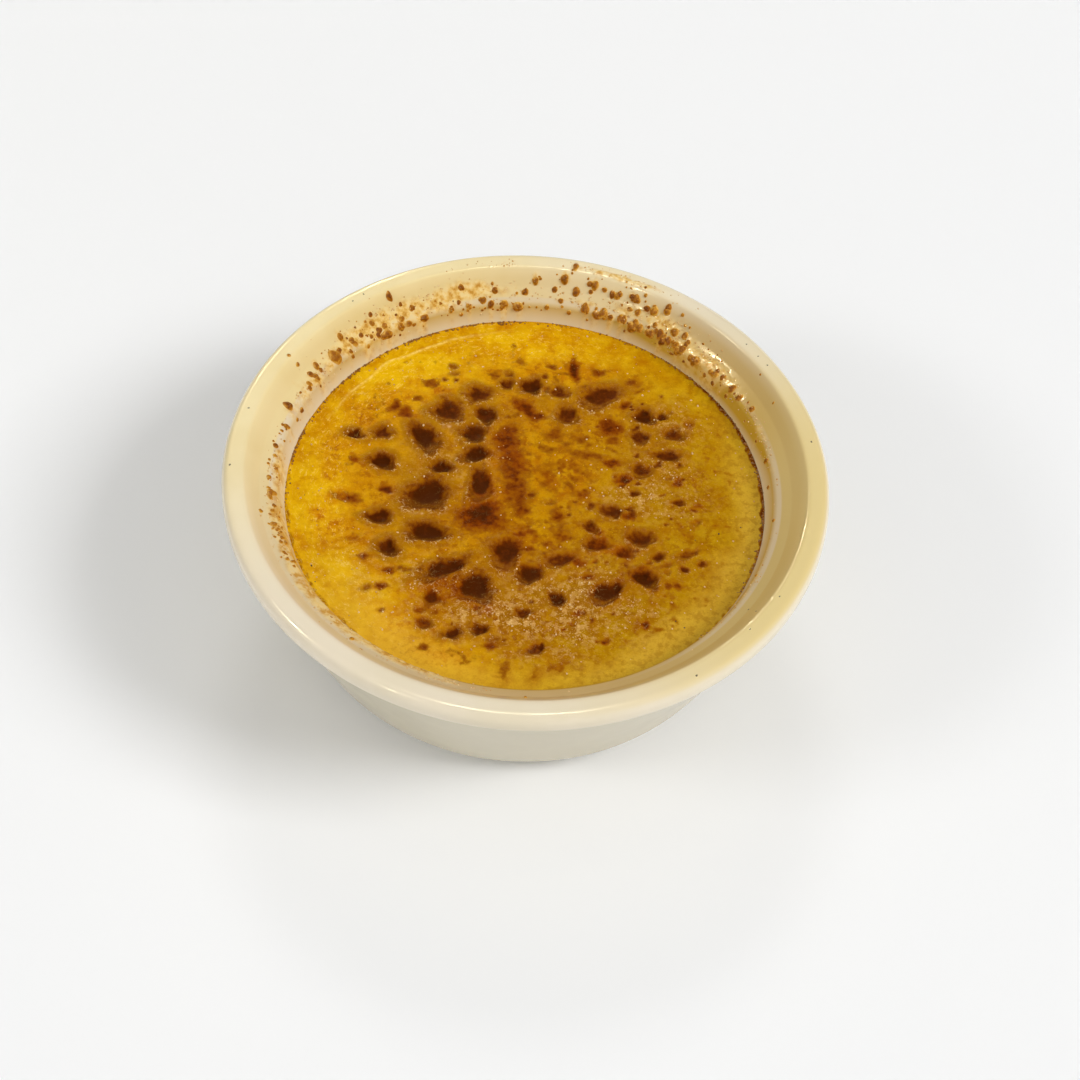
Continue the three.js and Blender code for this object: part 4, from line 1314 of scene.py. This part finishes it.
def sky():
    """A pale room that is darker behind, where the custard would mirror it."""
    world = bpy.data.worlds.new("studio")
    bpy.context.scene.world = world
    world.use_nodes = True
    nodes, links = world.node_tree.nodes, world.node_tree.links
    split = nodes.new("ShaderNodeSeparateXYZ")
    links.new(nodes.new("ShaderNodeTexCoord").outputs["Generated"], split.inputs["Vector"])
    darker = nodes.new("ShaderNodeMapRange")
    labels = ("From Min", "From Max", "To Min", "To Max")
    for label, number in zip(labels, (-0.5, 0.5, *SKY_STRENGTHS)):
        darker.inputs[label].default_value = number
    links.new(split.outputs["Y"], darker.inputs["Value"])
    background = nodes["Background"]
    background.inputs["Color"].default_value = SKY_COLOUR
    links.new(darker.outputs["Result"], background.inputs["Strength"])


def lights():
    for row in SOFTBOXES:
        softbox(*row)
    sky()


def camera():
    """Looks at the middle of the rim, then turns to set it at its pixel, and rolls."""
    back = Vector((0, -math.cos(CAMERA_ELEVATION), math.sin(CAMERA_ELEVATION)))
    place = back * CAMERA_DISTANCE + Vector((0, 0, AIM_HEIGHT))
    right = Vector((1, 0, 0))
    up = back.cross(right)
    dx = RIM_MIDDLE_PIXEL[0] - FRAME_PIXELS / 2
    dy = FRAME_PIXELS / 2 - RIM_MIDDLE_PIXEL[1]
    cosine, sine = math.cos(CAMERA_ROLL), math.sin(CAMERA_ROLL)
    x, y = cosine * dx - sine * dy, sine * dx + cosine * dy
    pan = Matrix.Rotation(math.atan2(x, FOCAL_PIXELS), 3, up)
    back, right = pan @ back, pan @ right
    back = Matrix.Rotation(-math.atan2(y, math.hypot(FOCAL_PIXELS, x)), 3, right) @ back
    up = back.cross(right)
    axes = Matrix((cosine * right + sine * up, cosine * up - sine * right, back)).transposed()
    data = bpy.data.cameras.new("photo_camera")
    data.sensor_width = SENSOR_MM
    data.lens = SENSOR_MM * FOCAL_PIXELS / FRAME_PIXELS
    data.clip_start = 0.01
    made = bpy.data.objects.new("photo_camera", data)
    bpy.context.scene.collection.objects.link(made)
    made.matrix_world = Matrix.Translation(place) @ axes.to_4x4()
    bpy.context.scene.camera = made


# ---- Everything together --------------------------------------------------------------------
def place(piece, slot, *nodes):
    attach(piece, "root")
    if nodes:
        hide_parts(*nodes)


camera()
lights()
floor()
bpy.context.scene.view_settings.view_transform = "Standard"

rng = np.random.default_rng(PIECES_SEED)
place(ramekin(), "glaze", "ramekin")
place(iron_specks_piece(rng), "glaze")
place(drops_piece(rng), "burnt_custard")
place(custard_piece(), "burnt_custard", "custard")
place(grains_piece(rng), "burnt_custard")
place(crumbs_piece(rng), "burnt_custard")
